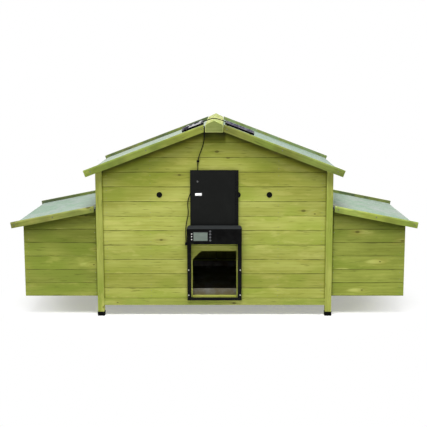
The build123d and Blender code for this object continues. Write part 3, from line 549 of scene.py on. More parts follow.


def pine(name, pale, dark, lay, luck, painted_shade=None, tone_and_painted_light=None, bare=knot_bare):
    """Stained pine between two colours, laid as a lay says. The luck starts the board numbers.

    A first function gives a mask of painted shade, with end grain on the ridge blocks, and its colour. A
    second gives the colour factor at a place: board tone, painted shade and painted highlight. bare is the
    share of knot places without a knot.
    """
    material, place, shader = new_finish(name)
    along, across, depth, number, groove = lay(*place.parts())
    chance = place.node("TexWhiteNoise", {"noise_dimensions": "1D"}, {"W": number + luck}, 1)
    slide, drift, shade = chance.parts()
    along = along + slide * 9.0
    across = across + drift * 3.0

    spots = place.joined(along * knot_rate_along, across * knot_rate_across, 0.0).cells(1.0, "2D")
    size, kept, warm = spots.other(1).parts()
    centre_along, centre_across, _ = spots.other(2).parts()
    off_along = centre_along / knot_rate_along - along
    off_across = centre_across / knot_rate_across - across
    reach = (off_along * off_along * 0.30 + off_across * off_across) ** 0.5
    tail = (off_along * off_along * 0.012 + off_across * off_across) ** 0.5
    radius = size * 0.005 + 0.0035
    shown = kept > bare
    core = reach.ramp(radius, radius * 0.5) * shown
    split = tail.ramp(0.0055, 0.0010) * shown * (size > 0.3)
    halo = reach.ramp(0.032, 0.004) * shown
    beside = off_along + (size - 0.5) * 0.08
    pale_side = (beside * beside * 0.06 + off_across * off_across) ** 0.5

    bent = across + off_across * halo * 0.8
    waver = place.joined(along * 1.8, bent * 8.0, depth * 8.0).noise(1.0)
    across = bent + (waver - 0.5) * 0.022
    rings = ((across * (2 * pi / ring_spacing)).sine() * 0.5 + 0.5) ** 1.5
    fibre = place.joined(along * 8.0, across * 520.0, depth * 520.0).noise(1.0)
    streak = place.joined(along * 3.4, across * 18.0, depth * 18.0).noise(1.0, 3.0)
    tone = streak * 0.66 + rings * 0.06 + fibre * 0.28
    stave = place.joined(along * 2.8, across * 6.0, number * 5.0 + luck).noise(1.0, 1.5)
    blotch = place.joined(along * 7.0, across * 24.0, number * 3.0).noise(1.0, 3.0, 0.6)
    dash = place.joined(along * 13.0, across * 120.0, number * 7.0).noise(1.0, 2.0)

    colour = tone.ramp(0.30, 0.70).tint(dark, pale)
    green = toned(dark, (0.92, 1.06, 0.80))
    straw = toned(pale, (1.10, 1.03, 1.15))
    colour = (stave.ramp(0.54, 0.36) * 0.65).tint(colour, green)
    colour = (blotch.ramp(0.54, 0.70) * 0.60).tint(colour, straw)
    dashes = dash.ramp(0.58, 0.70) * blotch.ramp(0.62, 0.40, 0.05, 0.60)
    colour = dashes.tint(colour, toned(dark, 0.55))
    glow = pale_side.ramp(0.015, 0.005) * shown * blotch.ramp(0.40, 0.56, 0.2, 0.8)
    colour = glow.tint(colour, sapwood)
    colour = colour.scaled(shade * 0.20 + 0.88)
    # The colour factor carries board tone, painted shade and, on the roof edges, a painted highlight.
    if tone_and_painted_light:
        colour = colour.times(tone_and_painted_light(*place.parts()))
    colour = (halo * warm * 0.40).tint(colour, knot_amber)
    colour = (split * 0.45).tint(colour, knot_brown)
    colour = (core * 0.80).tint(colour, knot_brown)
    if isinstance(groove, Wire):
        dirt = groove.ramp(0.0030, 0.0010) * blotch.ramp(0.58, 0.42, 0.0, 0.8)
        colour = dirt.tint(colour, groove_dirt)
    # Painted shade on faces of the roof edges and in corners by the posts; on the ridge blocks, end grain
    # too.
    if painted_shade:
        shade_share, shade_colour = painted_shade(*place.parts())
        shade_share = shade_share * streak.ramp(0.30, 0.75, painted_shade_depth, painted_shade_depth - 0.25)
        colour = shade_share.tint(colour, shade_colour)
    height = fibre * 0.6 + rings * 0.4 - core * 0.6
    set_shader(shader, Base_Color=colour, Roughness=0.72 - fibre * 0.16, Specular_IOR_Level=wood_gloss,
               Normal=height.bump(0.35, 0.0006))
    return material


print("pine ready")

# %% [markdown]
# ## Cuts of timber
# Walls, frame, roof edges and nest boxes took the stain and the weather differently, so each group of
# pieces is a cut of its own: a pale and a dark colour, a lay, its frame nodes, and where needed its faces
# with painted shade, its colour factor of tone and painted light, and its share of places without a knot.

# %% Dress the timber
wall_pine = (0.475, 0.495, 0.122), (0.325, 0.35, 0.058)
frame_pine = (0.36, 0.39, 0.087), (0.255, 0.28, 0.050)
barge_pine = (0.23, 0.265, 0.056), (0.15, 0.180, 0.032)
trim_pine = (0.305, 0.345, 0.076), (0.195, 0.23, 0.042)
ridge_pine = (0.435, 0.475, 0.155), (0.33, 0.365, 0.090)
nest_pine = (0.29, 0.33, 0.060), (0.19, 0.22, 0.031)
nest_bare = 0.05               # the nest boxes are knotty
left_lid_light = 0.80          # lightness of the left lid's edge strips
first_luck = 22.0              # luck of the first cut
board_luck = 7.3               # step in luck from one cut to the next
timber = [
    ("wall_boards", wall_pine, wall_lay, ["front_wall_boards", "rear_wall_boards", "tray_front"], None,
     wall_tone_and_shade),
    ("side_boards", wall_pine, side_wall_lay, ["side_wall_boards"]),
    ("door_boards", wall_pine, door_lay, ["left_door_boards", "right_door_boards"], None, wall_tone_and_shade),
    ("nest_boards", nest_pine, nest_lay, ["left_nest_boards", "right_nest_boards"], None, nest_tone_and_shade,
     nest_bare),
    ("panel_boards", wall_pine, bar_lay, ["floor_panel", "nest_floors", "nest_dividers"]),
    ("posts", frame_pine, upright_lay, ["corner_posts", "wall_battens", "perch_brackets", "nest_battens",
                                        "turn_button"]),
    ("rails", frame_pine, rail_lay, ["bottom_rails"]),
    ("roosts", frame_pine, bar_lay, ["roost_perches"]),
    ("beams", frame_pine, beam_lay, ["ridge_beam", "lid_hinge_rails"]),
    ("barges", barge_pine, barge_lay, ["barge_boards"], barge_inner, edge_tone_and_highlight(roof_tip, roof_angle, 1.0)),
    ("decks", trim_pine, deck_lay, ["roof_decks"]),
    ("lids", trim_pine, lid_lay, ["left_lid_boards", "right_lid_boards"], strip_inner,
     edge_tone_and_highlight(lid_tip, lid_angle, left_lid_light)),
    ("ridge", ridge_pine, beam_lay, ["ridge_cap"]),
    ("ridge_blocks", ridge_pine, bar_lay, ["ridge_end_blocks"], block_end),
]
for count, (name, (pale, dark), lay, names, *extras) in enumerate(timber):
    dress(pine("pine_" + name, pale, dark, lay, board_luck * count + first_luck, *extras), *names)
print(len(timber), "cuts of pine")

# %% [markdown]
# ## Roofing felt
# The roofs carry mineral felt: bitumen cloth pressed with pale green-grey granules. Seen close, each
# granule has its own grey, and seen from afar the sheet is cloudy where granules are thin. Voronoi cells of
# the granules' size give both the specks and the rough surface, and wide clouds shift the colour. The felt
# of the lids is darker than that of the roof, and on both the right side is given another colour. The lids'
# ends by the posts carry painted shade.

# %% Felt finish
granule = 0.0016               # width of a granule
bitumen = (0.012, 0.012, 0.012)
lilac = (0.43, 0.43, 0.46)     # granules that have lost their green
nowhere = -1.0                 # reach of the painted shade at the ends on a sheet that has none


def felt(name, pale, deep, right, end, corner):
    """Granule felt: cell colours at the size of granules over three sizes of cloud.

    right is the colour factor of the right side. The cut ends of the sheet, at end from the middle, show
    bitumen. At the reach corner and nearer to the house, its ends darken as painted shade.
    """
    material, place, shader = new_finish(name)
    x, y, _ = place.parts()
    grit = place.cells(1 / granule)
    grey, fleck, _ = grit.other(1).parts()
    cloud = place.noise(3.2, 4.0, 0.6)
    patch = place.noise(22.0, 3.0)
    colour = (cloud * 0.55 + patch * 0.45).ramp(0.30, 0.70).tint(deep, pale)
    colour = (place.noise(11.0, 2.0).ramp(0.40, 0.70) * 0.35).tint(colour, lilac)
    colour = colour.times(side(x).tint((1.0, 1.0, 1.0), right))
    colour = colour.scaled(grey * 0.42 + 0.79)
    colour = ((fleck > 0.94) * 0.6).tint(colour, (0.10, 0.12, 0.11))
    # painted shade: the sheet's ends by the posts, in the gap beside the edge strips, darken towards black
    dirt = abs(x).ramp(corner + 0.014, corner + 0.004) * abs(y).ramp(end - 0.10, end - 0.05)
    dirt = dirt * choice(side(x), 0.97, 0.75)
    colour = dirt.tint(colour, bitumen)
    colour = (abs(y) > end - face_skin).tint(colour, bitumen)
    set_shader(shader, Base_Color=colour, Roughness=0.93 - grey * 0.1, Specular_IOR_Level=0.2,
               Normal=grit.bump(0.5, 0.0008))
    return material


roof_felt = felt("roof_felt", (0.445, 0.49, 0.415), (0.29, 0.395, 0.28), (0.79, 0.88, 0.86), barge_back,
                 nowhere)
lid_felt = felt("lid_felt", (0.37, 0.435, 0.385), (0.24, 0.36, 0.26), (1.06, 1.06, 1.03), strip_back,
                strip_start)
dress(roof_felt, "roof_felts")
dress(lid_felt, "left_lid_felt", "right_lid_felt")
print("felt on the roofs")

# %% [markdown]
# ## Moulded plastic, rubber and paint
# Feet, vents, the opener and its small parts are moulded. A mould leaves an even fine texture, and handling
# leaves faint patches that are a little smoother. One function covers them all: a cloud as fine as the
# texture for the bump, a wide one for the patches, and the colour and gloss as values.

# %% Moulded finishes


def moulded(name, colour, rough, grain, patchy=0.12, coat=0.0, gloss=0.05, dust_and_sheen_share=None):
    """Moulded surface: fine grain in the bump, and wide patches in colour and roughness.

    dusty gives the share of the dust colour at a place, which also stands for painted sheen.
    """
    material, place, shader = new_finish(name)
    patch = place.noise(38.0, 3.0)
    speck = place.noise(1500.0, 1.0)
    lighter = tuple(min(1.0, value * 1.35 + 0.002) for value in colour)
    body = patch.ramp(0.3, 0.7).tint(colour, lighter)
    if dust_and_sheen_share:
        body = dust_and_sheen_share(*place.parts()).tint(body, dust_and_sheen)
    set_shader(shader, Base_Color=body, Roughness=patch * patchy + (rough - patchy / 2), Coat_Weight=coat,
               Specular_IOR_Level=gloss, Normal=speck.bump(grain, 0.0003))
    return material


black = (0.0035, 0.0035, 0.0035)
dull_gloss = 0.015             # of plastics that weather has dulled
# dust colour, also standing for the painted sheen of the light on the case's bevel
dust_and_sheen = (0.060, 0.068, 0.070)
bevel_foot = 0.4682            # just above the lower edge of the case's bevel


def bevel_dust_and_sheen(x, y, z):
    """Dust, with a painted sheen of the light above, lies on the bevel along the top of the case."""
    return (z > bevel_foot) * 0.28


dress(moulded("foot_moulding", black, 0.55, 0.25, gloss=dull_gloss), "foot_caps")
dress(moulded("vent_moulding", (0.004, 0.004, 0.004), 0.6, 0.15), "vent_plugs")
dress(moulded("case_moulding", black, 0.42, 0.30, gloss=dull_gloss, dust_and_sheen_share=bevel_dust_and_sheen), "opener_case")
dress(moulded("opener_moulding", black, 0.42, 0.30), "opener_back_cover", "door_channels")
dress(moulded("panel_moulding", black, 0.38, 0.15, gloss=dull_gloss), "solar_panels", "solar_wedges")
dress(moulded("fitting_moulding", black, 0.5, 0.2), "cable_fittings")
dress(moulded("gear_nylon", (0.005, 0.005, 0.005), 0.5, 0.1), "door_rack", "drive_pinion")
dress(moulded("bezel_gloss", black, 0.18, 0.02, 0.06, 0.2), "display_bezel")
dress(moulded("button_rubber", (0.075, 0.077, 0.080), 0.6, 0.3), "up_button", "down_button", "menu_button",
      "set_button")
dress(moulded("lamp_lens", (0.52, 0.52, 0.51), 0.30, 0.02, 0.06, 0.3), "status_lamps")
dress(moulded("motor_paint", (0.22, 0.22, 0.23), 0.4, 0.1), "gear_motor")
dress(moulded("battery_film", (0.05, 0.08, 0.12), 0.3, 0.03), "battery_pack")
dress(moulded("solder_mask", (0.018, 0.12, 0.05), 0.35, 0.1), "circuit_board")
sheath = moulded("lead_sheath", (0.005, 0.005, 0.006), 0.45, 0.08)
for lead in (control_cord, link_cord):
    lead.data.materials.append(sheath)
print("moulded pieces dressed")

# %% [markdown]
# ## Door plate
# The pop door is a smooth black sheet that slides in two channels. Sliding draws faint upright scuffs,
# which show best where light glances off: clouds stretched along the travel, in the roughness and faintly
# in the colour.

# %% Door plate finish


def door_sheet(name, colour):
    """Satin black sheet with upright scuffs."""
    material, place, shader = new_finish(name)
    x, y, z = place.parts()
    scuff = place.joined(x * 260.0, y * 20.0, z * 7.0).noise(1.0, 3.0)
    film = place.noise(11.0, 4.0, 0.6)
    tone = (film * 0.6 + scuff * 0.4).ramp(0.45, 0.75).tint(colour, toned(colour, 1.6))
    set_shader(shader, Base_Color=tone, Roughness=scuff * 0.22 + 0.30, Specular_IOR_Level=0.08,
               Normal=scuff.bump(0.08, 0.0003))
    return material


dress(door_sheet("door_sheet", (0.006, 0.0065, 0.006)), "door_plate")
print("door plate dressed")

# %% [markdown]
# ## Plated steel
# Hinges, nails and screws are zinc plated, and the tray is galvanised sheet. Plating is dull and faintly
# cloudy, duller the longer it stands in the rain. A galvanised sheet shows crystals some millimetres wide,
# each with its own shine: Voronoi cells are those crystals, under a film of dried dirt.

# %% Steel finishes


def plated(name, colour, rough):
    """Zinc plating: fine clouds in colour and shine."""
    material, place, shader = new_finish(name)
    cloud = place.noise(120.0, 4.0, 0.6)
    dull = toned(colour, 0.72)
    set_shader(shader, Base_Color=cloud.ramp(0.3, 0.7).tint(dull, colour), Metallic=1.0,
               Roughness=cloud * 0.2 + (rough - 0.1), Normal=place.noise(700.0).bump(0.1, 0.0003))
    return material


def galvanised(name, colour, film):
    """Zinc crystals: cells of many greys, bent at their edges by a cloud, under a patchy film of dirt."""
    material, place, shader = new_finish(name)
    bend = place.noise(30.0, 2.0)
    x, y, z = place.parts()
    crystal = place.joined(x + bend * 0.02, y + bend * 0.02, z).cells(95.0)
    grey, shine, _ = crystal.other(1).parts()
    tone = grey.tint(toned(colour, 0.7), colour)
    dirt = place.noise(9.0, 4.0, 0.65).ramp(0.36, 0.60, 0.35, 0.95)
    set_shader(shader, Base_Color=dirt.tint(tone, film), Metallic=1.0 - dirt,
               Roughness=shine * 0.25 + dirt * 0.35 + 0.28)
    return material


zinc = plated("zinc_plate", (0.52, 0.52, 0.47), 0.40)
hinge_zinc = plated("hinge_zinc", (0.34, 0.34, 0.31), 0.58)
dull_zinc = plated("dull_zinc", (0.20, 0.21, 0.13), 0.60)
dress(zinc, "channel_screws")
dress(hinge_zinc, "fixed_hinge_leaves", "left_door_fittings", "right_door_fittings")
# weathered zinc, darkened further as painted shade: the lid hinges sit where the wall beside them is in
# shadow
dress(dull_zinc, "left_lid_hinges", "right_lid_hinges")
dress(galvanised("galvanised_sheet", (0.30, 0.31, 0.30), (0.125, 0.100, 0.048)), "tray_pan")
print("steel dressed")

# %% [markdown]
# ## Display and solar cells
# The display is a blank grey-green pane behind a clear cover: a coat over a matt colour. The solar panes
# are dark cells under glass, crossed by thin silver lines, which come from fractions of the distance down
# the slope and along the ridge. A coat gives sharp reflections of the bright surroundings. The right pane
# is dull all over, and the left one is clean in patches, so a cloud sets the weight of their coat. The left
# pane's cells are darker, as painted shade.

# %% Pane finishes
cell_width = 0.0330
finger_pitch = 0.0026
line_half = 0.035              # half width of a line as a share of its pitch
finger_half = 0.12
finger_share = 0.25            # of silver in the thin lines
left_pane_shade = 0.35              # painted shade: colour of the left pane's cells as a share of the right one's


def display(name, colour):
    """Blank display under a clear cover."""
    material, place, shader = new_finish(name)
    haze = place.noise(45.0, 2.0)
    set_shader(shader, Base_Color=haze.ramp(0.3, 0.7).tint(toned(colour, 0.86), colour),
               Roughness=0.35, Specular_IOR_Level=0.2, Coat_Weight=0.3, Coat_Roughness=0.06)
    return material


def near_line(value, pitch, half):
    """1 on lines a pitch apart."""
    return (value / pitch).to_whole() < half


def solar(name, colour, silver):
    """Dark cells with fine fingers and wider bars, under glass."""
    material, place, shader = new_finish(name)
    x, y, z = place.parts()
    bars = near_line(down_slope(x, z, roof_angle)[0], cell_width, line_half)
    gaps = near_line(y, cell_width, line_half)
    fingers = near_line(y, finger_pitch, finger_half)
    flake = place.cells(60.0).other(1).parts()[0]
    tone = flake.tint(colour, toned(colour, 1.5))
    tone = (fingers * finger_share).tint(tone, silver)
    tone = bars.maths("MAXIMUM", bars, gaps).tint(tone, silver)
    wiped = place.joined(x * 34.0, y * 7.0, 0.0).noise(1.0, 1.0)
    clean = choice(side(x), wiped.ramp(0.46, 0.62, 0.0, 0.16), wiped.ramp(0.48, 0.56, 0.0, 0.9))
    tone = tone.scaled(choice(side(x), 1.0, left_pane_shade))
    set_shader(shader, Base_Color=tone, Roughness=0.34 + flake * 0.06, Specular_IOR_Level=0.0,
               Coat_Weight=clean, Coat_Roughness=0.05)
    return material


dress(display("display_glass", (0.150, 0.188, 0.158)), "display_pane")
dress(solar("solar_glass", (0.040, 0.037, 0.064), (0.20, 0.19, 0.23)), "solar_cells")
print("panes dressed")

# %% [markdown]
# ## Small turned pieces
# Nail heads, screw heads, the stud and the blank label on the door plate are all a profile carried round an
# outline: a circle, or a rounded rectangle for the label. One function works out the points of such a piece
# as whole arrays and closes both ends. Others set copies of it on flat faces and make them one piece.

# %% Turned shapes
x_axis, y_axis = 0, 1


def turned(profile, outline):
    """Points and faces of a profile (reach, height) carried round an outline (x, y), with both ends closed.

    Point s of ring k: (reach[k] * x[s], reach[k] * y[s], height[k]). The first and last rings are points.
    """
    profile = np.asarray(profile, float)
    rings = len(profile) - 2
    count = len(outline)
    reach, height = profile[1:-1, 0], profile[1:-1, 1]
    flat = reach[:, None, None] * outline[None]
    tall = np.broadcast_to(height[:, None, None], (rings, count, 1))
    points = np.concatenate([flat, tall], axis=2).reshape(-1, 3)
    ends = np.array([[0, 0, profile[0, 1]], [0, 0, profile[-1, 1]]])
    points = np.concatenate([points, ends])
    first, last = len(points) - 2, len(points) - 1
    here = np.arange(count)
    beside = np.roll(here, -1)
    start = np.arange(rings - 1)[:, None] * count
    quads = np.stack([start + here, start + count + here, start + count + beside, start + beside], axis=2)
    base = (rings - 1) * count
    top = np.stack([np.full(count, first), here, beside], axis=1)
    bottom = np.stack([base + here, np.full(count, last), base + beside], axis=1)
    return points, quads.reshape(-1, 4).tolist() + top.tolist() + bottom.tolist()


def circle(count):
    """Outline of a circle of radius 1."""
    angle = np.arange(count) * 2 * pi / count
    return np.stack([np.cos(angle), np.sin(angle)], axis=1)


def strewn(shape, places, normal):
    """Copies of a shape on places, each with its height along the normal."""
    points, faces = shape
    normal = np.asarray(normal, float)
    right = np.cross((0.0, 0.0, 1.0), normal)
    up = np.cross(normal, right)
    turned_points = points @ np.stack([right, up, normal])
    places = np.asarray(places, float).reshape(-1, 1, 3)
    every = (places + turned_points[None]).reshape(-1, 3)
    steps = np.arange(len(places)) * len(points)
    copies = [[corner + step for corner in face] for step in steps.tolist() for face in faces]
    return every, copies


def on_faces(shape, spots, axis, reach, *signs):
    """Copies of a shape at spots on flat faces.

    A face lies at reach along an axis, on the side that a sign gives.
    """
    out = np.eye(3)[axis]
    return [strewn(shape, np.insert(spots, axis, sign * reach, axis=1), sign * out) for sign in signs]


def add_piece(name, groups, body, material):
    """One mesh from groups of points and faces, riding on a body."""
    mesh = bpy.data.meshes.new(name)
    points = []
    faces = []
    for group_points, group_faces in groups:
        start = sum(len(part) for part in points)
        points.append(group_points)
        faces += [[corner + start for corner in face] for face in group_faces]
    mesh.from_pydata(np.concatenate(points).tolist(), [], faces)
    mesh.polygons.foreach_set("use_smooth", np.ones(len(mesh.polygons), bool))
    mesh.materials.append(material)
    piece = add_object(name, mesh)
    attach(piece, body)
    print(name, len(mesh.vertices), "points on", body)


print("turned shapes ready")

# %% [markdown]
# ## Nails
# Every board is held by two small nails at each upright behind it. They are flush flat heads with a soft
# edge, so a few rings are enough for one. The walls give their places: two in each board, on the lines of
# the posts and battens. At the front and rear there are none where a roof cuts the board or a hinge covers
# it.

# %% Nail the boards
nail_radius = 0.0017
nail_sink = 0.0004
nail_proud = 0.0003
nail_sides = 10
nail_heights = np.array([0.24, 0.76])    # shares of a board's height
wall_courses, door_courses = 11, 6       # boards one above the other
side_below, side_courses = 7, 2          # on a side wall, courses below the nails and courses of nails
nest_courses, outer_courses = 7, 5
rail_rows = [0.106, 0.133]
wall_columns = [-0.555, -0.330, 0.330, 0.555]
side_columns = [-0.335, 0.335]
nest_columns = [-0.967, -0.621, 0.621, 0.967]
outer_columns = [-0.347, 0.347]
door_columns = np.array([0.0465, 0.2665])
barge_cover = 0.045            # depth below a roof's top edge without nails
strip_cover = 0.040
hinge_heights = np.array([0.227, 0.523])
hinge_half = 0.036             # half the height that a hinge covers
hinge_reach = 0.4              # the hinges of the doors lie nearer to the middle
wall_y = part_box("front_wall_boards")[0].y
rear_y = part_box("rear_wall_boards")[1].y
nest_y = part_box("right_nest_boards")[1].y
nest_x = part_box("right_nest_boards")[1].x
side_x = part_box("side_wall_boards")[1].x
nail_profile = [(0, nail_proud), (nail_radius * 0.7, nail_proud), (nail_radius, 0.0),
                (nail_radius, -nail_sink), (0, -nail_sink)]
nail = turned(nail_profile, circle(nail_sides))
nail_zinc = plated("nail_zinc", (0.30, 0.31, 0.22), 0.55)


def nail_rows(line, cover, number):
    """Heights of two nails in each of some boards above a line."""
    return (line + cover * (np.arange(number)[:, None] + nail_heights)).ravel()


def grid_of(columns, rows):
    """Every pair of a column and a row."""
    return np.stack(np.meshgrid(columns, rows), axis=2).reshape(-1, 2)


def roof_line(x, tip, angle, drop):
    """Height of the line that lies drop below the top edge of a roof."""
    return tip[1] + (tip[0] - np.abs(x)) * tan(angle) - drop / cos(angle)


def below_roof(spots, tip, angle, drop):
    """Those of the spots that lie under that line."""
    return spots[spots[:, 1] < roof_line(spots[:, 0], tip, angle, drop)]


wall_rows = np.concatenate([rail_rows, nail_rows(board_line, board_cover, wall_courses)])
wall_spots = below_roof(grid_of(wall_columns, wall_rows), roof_tip, roof_angle, barge_cover)
from_hinge = np.abs(wall_spots[:, 1:] - hinge_heights).min(axis=1)
hinged = (np.abs(wall_spots[:, 0]) < hinge_reach) & (from_hinge < hinge_half)
rear_spots = wall_spots[(wall_spots[:, 1] > board_line) & ~hinged]
side_line = board_line + side_below * board_cover
side_spots = grid_of(side_columns, nail_rows(side_line, board_cover, side_courses))
wall_nails = on_faces(nail, wall_spots, y_axis, -wall_y, -1)
wall_nails += on_faces(nail, rear_spots, y_axis, rear_y, 1)
wall_nails += on_faces(nail, side_spots, x_axis, side_x, 1, -1)
add_piece("wall_nails", wall_nails, "house", nail_zinc)

nest_grid = grid_of(nest_columns, nail_rows(nest_line, nest_cover, nest_courses))
nest_spots = below_roof(nest_grid, lid_tip, lid_angle, strip_cover)
outer_spots = grid_of(outer_columns, nail_rows(nest_line, nest_cover, outer_courses))
nest_nails = on_faces(nail, nest_spots, y_axis, nest_y, -1, 1)
nest_nails += on_faces(nail, outer_spots, x_axis, nest_x, 1, -1)
add_piece("nest_nails", nest_nails, "house", nail_zinc)

door_rows = nail_rows(board_line, board_cover, door_courses)
for body, sign in (("left_door", -1), ("right_door", 1)):
    door_nails = on_faces(nail, grid_of(sign * door_columns, door_rows), y_axis, rear_y, 1)
    add_piece(body + "_nails", door_nails, body, nail_zinc)

# %% [markdown]
# ## Screws
# The barge boards and the edge strips of the lids are screwed on: domed heads with a cross, dulled by the
# weather. The dome is a profile carried round a circle, and the cross is pressed into it by a formula: deep
# where a point is near either of two lines through the middle, fading towards the rim.

# %% Screw the edge boards
head_radius = 0.0038
head_height = 0.0016
cross_width = 0.0007
cross_depth = 0.0012
cross_reach = 0.62 * head_radius
head_sides = 28
ring_angles = np.linspace(0, pi / 2, 9)
dome = np.stack([np.sin(ring_angles) * head_radius, np.cos(ring_angles) * head_height], axis=1)
head_points, head_faces = turned([*dome, (head_radius, -nail_sink), (0, -nail_sink)], circle(head_sides))
across = np.minimum(np.abs(head_points[:, 0]), np.abs(head_points[:, 1]))
from_middle = np.hypot(head_points[:, 0], head_points[:, 1])
pressed = np.exp(-(across / cross_width) ** 4) * np.exp(-(from_middle / cross_reach) ** 6)
head_points[:, 2] -= cross_depth * pressed * (head_points[:, 2] > 0)
screw = head_points, head_faces

barge_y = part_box("barge_boards")[1].y
lid_strip_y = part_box("right_lid_boards")[1].y
barge_reach = np.array([0.064, 0.345, 0.628])
barge_drop = 0.0175            # from a board's top edge to its screws
barge_spots = np.stack([barge_reach, roof_line(barge_reach, roof_tip, roof_angle, barge_drop)], axis=1)
barge_spots = np.concatenate([barge_spots, barge_spots * (-1, 1)])
barge_screws = on_faces(screw, barge_spots, y_axis, barge_y, -1, 1)
add_piece("barge_screws", barge_screws, "house", dull_zinc)
strip_reach = np.array([0.636, 0.832, 1.030])
strip_drop = 0.0155
strip_spots = np.stack([strip_reach, roof_line(strip_reach, lid_tip, lid_angle, strip_drop)], axis=1)
for body, sign in (("left_lid", -1), ("right_lid", 1)):
    strip_screws = on_faces(screw, strip_spots * (sign, 1), y_axis, lid_strip_y, -1, 1)
    add_piece(body + "_screws", strip_screws, body, dull_zinc)

# %% [markdown]
# ## Label and stud on the door plate
# The plate carries a small blank white label and a grey stud. The label's outline is a superellipse, which
# is nearly a rectangle with rounded corners, and its profile is a thin plate with a soft edge.

# %% Label and stud
label_size = (0.0335, 0.0130)
label_thickness = 0.0004
outline_points = 48
outline_power = 12.0           # the higher, the sharper the corners
plate_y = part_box("door_plate")[0].y
label_place = (-0.0815, plate_y, 0.6415)
stud_place = (-0.0860, plate_y, 0.708)
stud_radius = 0.0050
stud_height = 0.0014
stud_sides = 24


def rounded_outline(width, height):
    """Superellipse: |x / half width| ^ power + |y / half height| ^ power = 1."""
    unit = circle(outline_points)
    bulge = np.abs(unit) ** (2 / outline_power) * np.sign(unit)
    return bulge * (width / 2, height / 2)


label_profile = [(0, label_thickness), (0.5, label_thickness), (0.97, label_thickness),
                 (1, label_thickness / 2), (1, 0), (0, 0)]
label = turned(label_profile, rounded_outline(*label_size))
label_white = moulded("label_white", (0.80, 0.80, 0.79), 0.4, 0.05, 0.05)
add_piece("door_label", [strewn(label, label_place, (0, -1, 0))], "pop_door", label_white)
stud_dome = np.stack([np.sin(ring_angles) * stud_radius, np.cos(ring_angles) * stud_height], axis=1)
stud = turned([*stud_dome, (0, 0)], circle(stud_sides))
stud_grey = moulded("stud_grey", (0.075, 0.078, 0.078), 0.4, 0.1)
add_piece("door_stud", [strewn(stud, stud_place, (0, -1, 0))], "pop_door", stud_grey)

# %% [markdown]
# ## Draught strips at the rear
# The two rear doors meet with a slit of a millimetre and a half, so that both can swing, and they stand
# three millimetres above the board of the tray, so that it can slide. Thin rubber strips keep the draught
# out: one on the closing edge of the left door, and one along the top of the tray board. They are the same
# kind of plate as the label, set on edge.

# %% Draught strips
door_seal_size = (0.0032, 0.4526)
door_seal_thickness = 0.00137
door_seal_place = (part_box("left_door_boards")[1].x, 0.3791, 0.375)
tray_seal_size = (0.6120, 0.0028)
tray_seal_thickness = 0.0065
tray_seal_sink = 0.0002
tray_seal_place = (0.0, 0.3708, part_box("tray_front")[1].z + tray_seal_size[1] / 2 - tray_seal_sink)
seal_rubber = moulded("seal_rubber", (0.010, 0.010, 0.009), 0.7, 0.2)


def seal(size, thickness):
    """A plate with straight sides."""
    profile = [(0, thickness), (0.6, thickness), (0.998, thickness), (1, 0), (0, 0)]
    return turned(profile, rounded_outline(*size))


door_seal = strewn(seal(door_seal_size, door_seal_thickness), door_seal_place, (1, 0, 0))
add_piece("left_door_seal", [door_seal], "left_door", seal_rubber)
tray_seal = strewn(seal(tray_seal_size, tray_seal_thickness), tray_seal_place, (0, 1, 0))
add_piece("tray_seal", [tray_seal], "tray", seal_rubber)

# %% [markdown]
# ## Floor
# A product picture stands on a white sweep. The floor is a pale diffuse sheet that keeps the soft shadow,
# and what the camera sees of it is lifted to white, more so away from the house.

# %% Lay the floor
floor_half = 9.0
floor_colour = (0.80, 0.80, 0.80, 1.0)
floor_lift = 0.34              # added to what the camera sees of the floor
fade_start = 0.75              # metres from the middle
fade_end = 1.25
fade_squash = 1.35             # fades sooner to the front and rear


def seen_by_eye(wire):
    """1 for rays that reach the camera directly, by reflection or through glass."""
    path = wire.node("LightPath", (), (), "Is Camera Ray")
    reflected = path.maths("MAXIMUM", path.other("Is Glossy Ray"), path.other("Is Transmission Ray"))
    return path.maths("MAXIMUM", path, reflected)


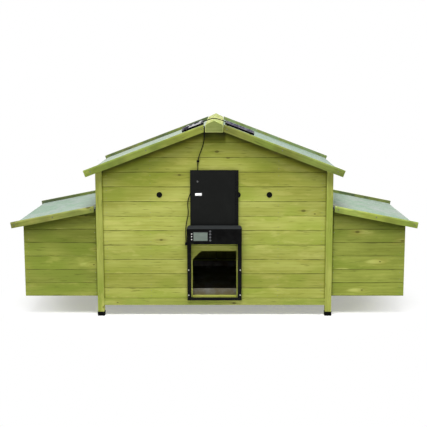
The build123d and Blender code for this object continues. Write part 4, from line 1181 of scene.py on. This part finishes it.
corners = np.array([(-1, -1, 0), (1, -1, 0), (1, 1, 0), (-1, 1, 0)]) * floor_half
floor_mesh = bpy.data.meshes.new("floor")
floor_mesh.from_pydata(corners.tolist(), [], [(0, 1, 2, 3)])
floor = add_object("floor", floor_mesh)
floor_finish = bpy.data.materials.new("floor_sheet")
floor_finish.use_nodes = True
tree = floor_finish.node_tree
tree.nodes.clear()
spot = Wire(tree).node("TexCoord", (), (), "Object")
floor_x, floor_y, _ = spot.parts()
far = (floor_x ** 2.0 + (floor_y * fade_squash) ** 2.0) ** 0.5
far = far.ramp(fade_start, fade_end)
seen = seen_by_eye(spot)
sheet = spot.node("BsdfDiffuse", (), {"Color": floor_colour})
lift = spot.node("Emission", (), {"Strength": seen * floor_lift})
lifted = spot.node("AddShader", (), {0: sheet, 1: lift})
faded = spot.node("MixShader", (), {0: far * seen, 1: lifted, 2: spot.node("Emission")})
tree.links.new(faded.socket, tree.nodes.new("ShaderNodeOutputMaterial").inputs["Surface"])
floor_mesh.materials.append(floor_finish)
print("floor of", 2 * floor_half, "m")

# %% [markdown]
# ## World
# The world is white to the camera and in reflections, and a plain grey as a light. So the background is
# white without more light on the house.

# %% World
world_level = 0.28
world = bpy.data.worlds.new("studio")
bpy.context.scene.world = world
world.use_nodes = True
seen = seen_by_eye(Wire(world.node_tree))
sky = world.node_tree.nodes["Background"].inputs
sky["Color"].default_value = (1.0, 1.0, 1.0, 1.0)
world.node_tree.links.new((seen * (1.0 - world_level) + world_level).socket, sky["Strength"])
print("world level", world_level)

# %% [markdown]
# ## Lamps
# A large lamp above the front, a little to the left, gives the shading under the eaves, which painted shade
# in the walls' colour deepens. A low lamp behind the house and a weak one at each side keep the other faces
# from going dark.

# %% Lamps


def add_lamp(name, place, aim, size, power):
    """A soft rectangular lamp that faces a point."""
    lamp = bpy.data.lights.new(name, "AREA")
    lamp.shape = "RECTANGLE"
    lamp.size, lamp.size_y = size
    lamp.energy = power
    holder = add_object(name, lamp)
    holder.location = place
    holder.rotation_euler = (Vector(aim) - Vector(place)).to_track_quat("-Z", "Y").to_euler()


add_lamp("key", (-0.2, -2.4, 5.0), (0.0, -0.2, 0.5), (3.0, 2.4), 345.0)
add_lamp("rear_fill", (0.0, 4.2, 0.8), (0.0, 0.0, 0.6), (3.0, 1.2), 70.0)
add_lamp("left_fill", (-4.0, -1.5, 2.0), (0.0, 0.0, 0.5), (2.0, 2.0), 18.0)
add_lamp("right_fill", (4.0, -1.5, 2.0), (0.0, 0.0, 0.5), (2.0, 2.0), 18.0)
bpy.context.scene.view_settings.view_transform = "Standard"
print("four lamps")
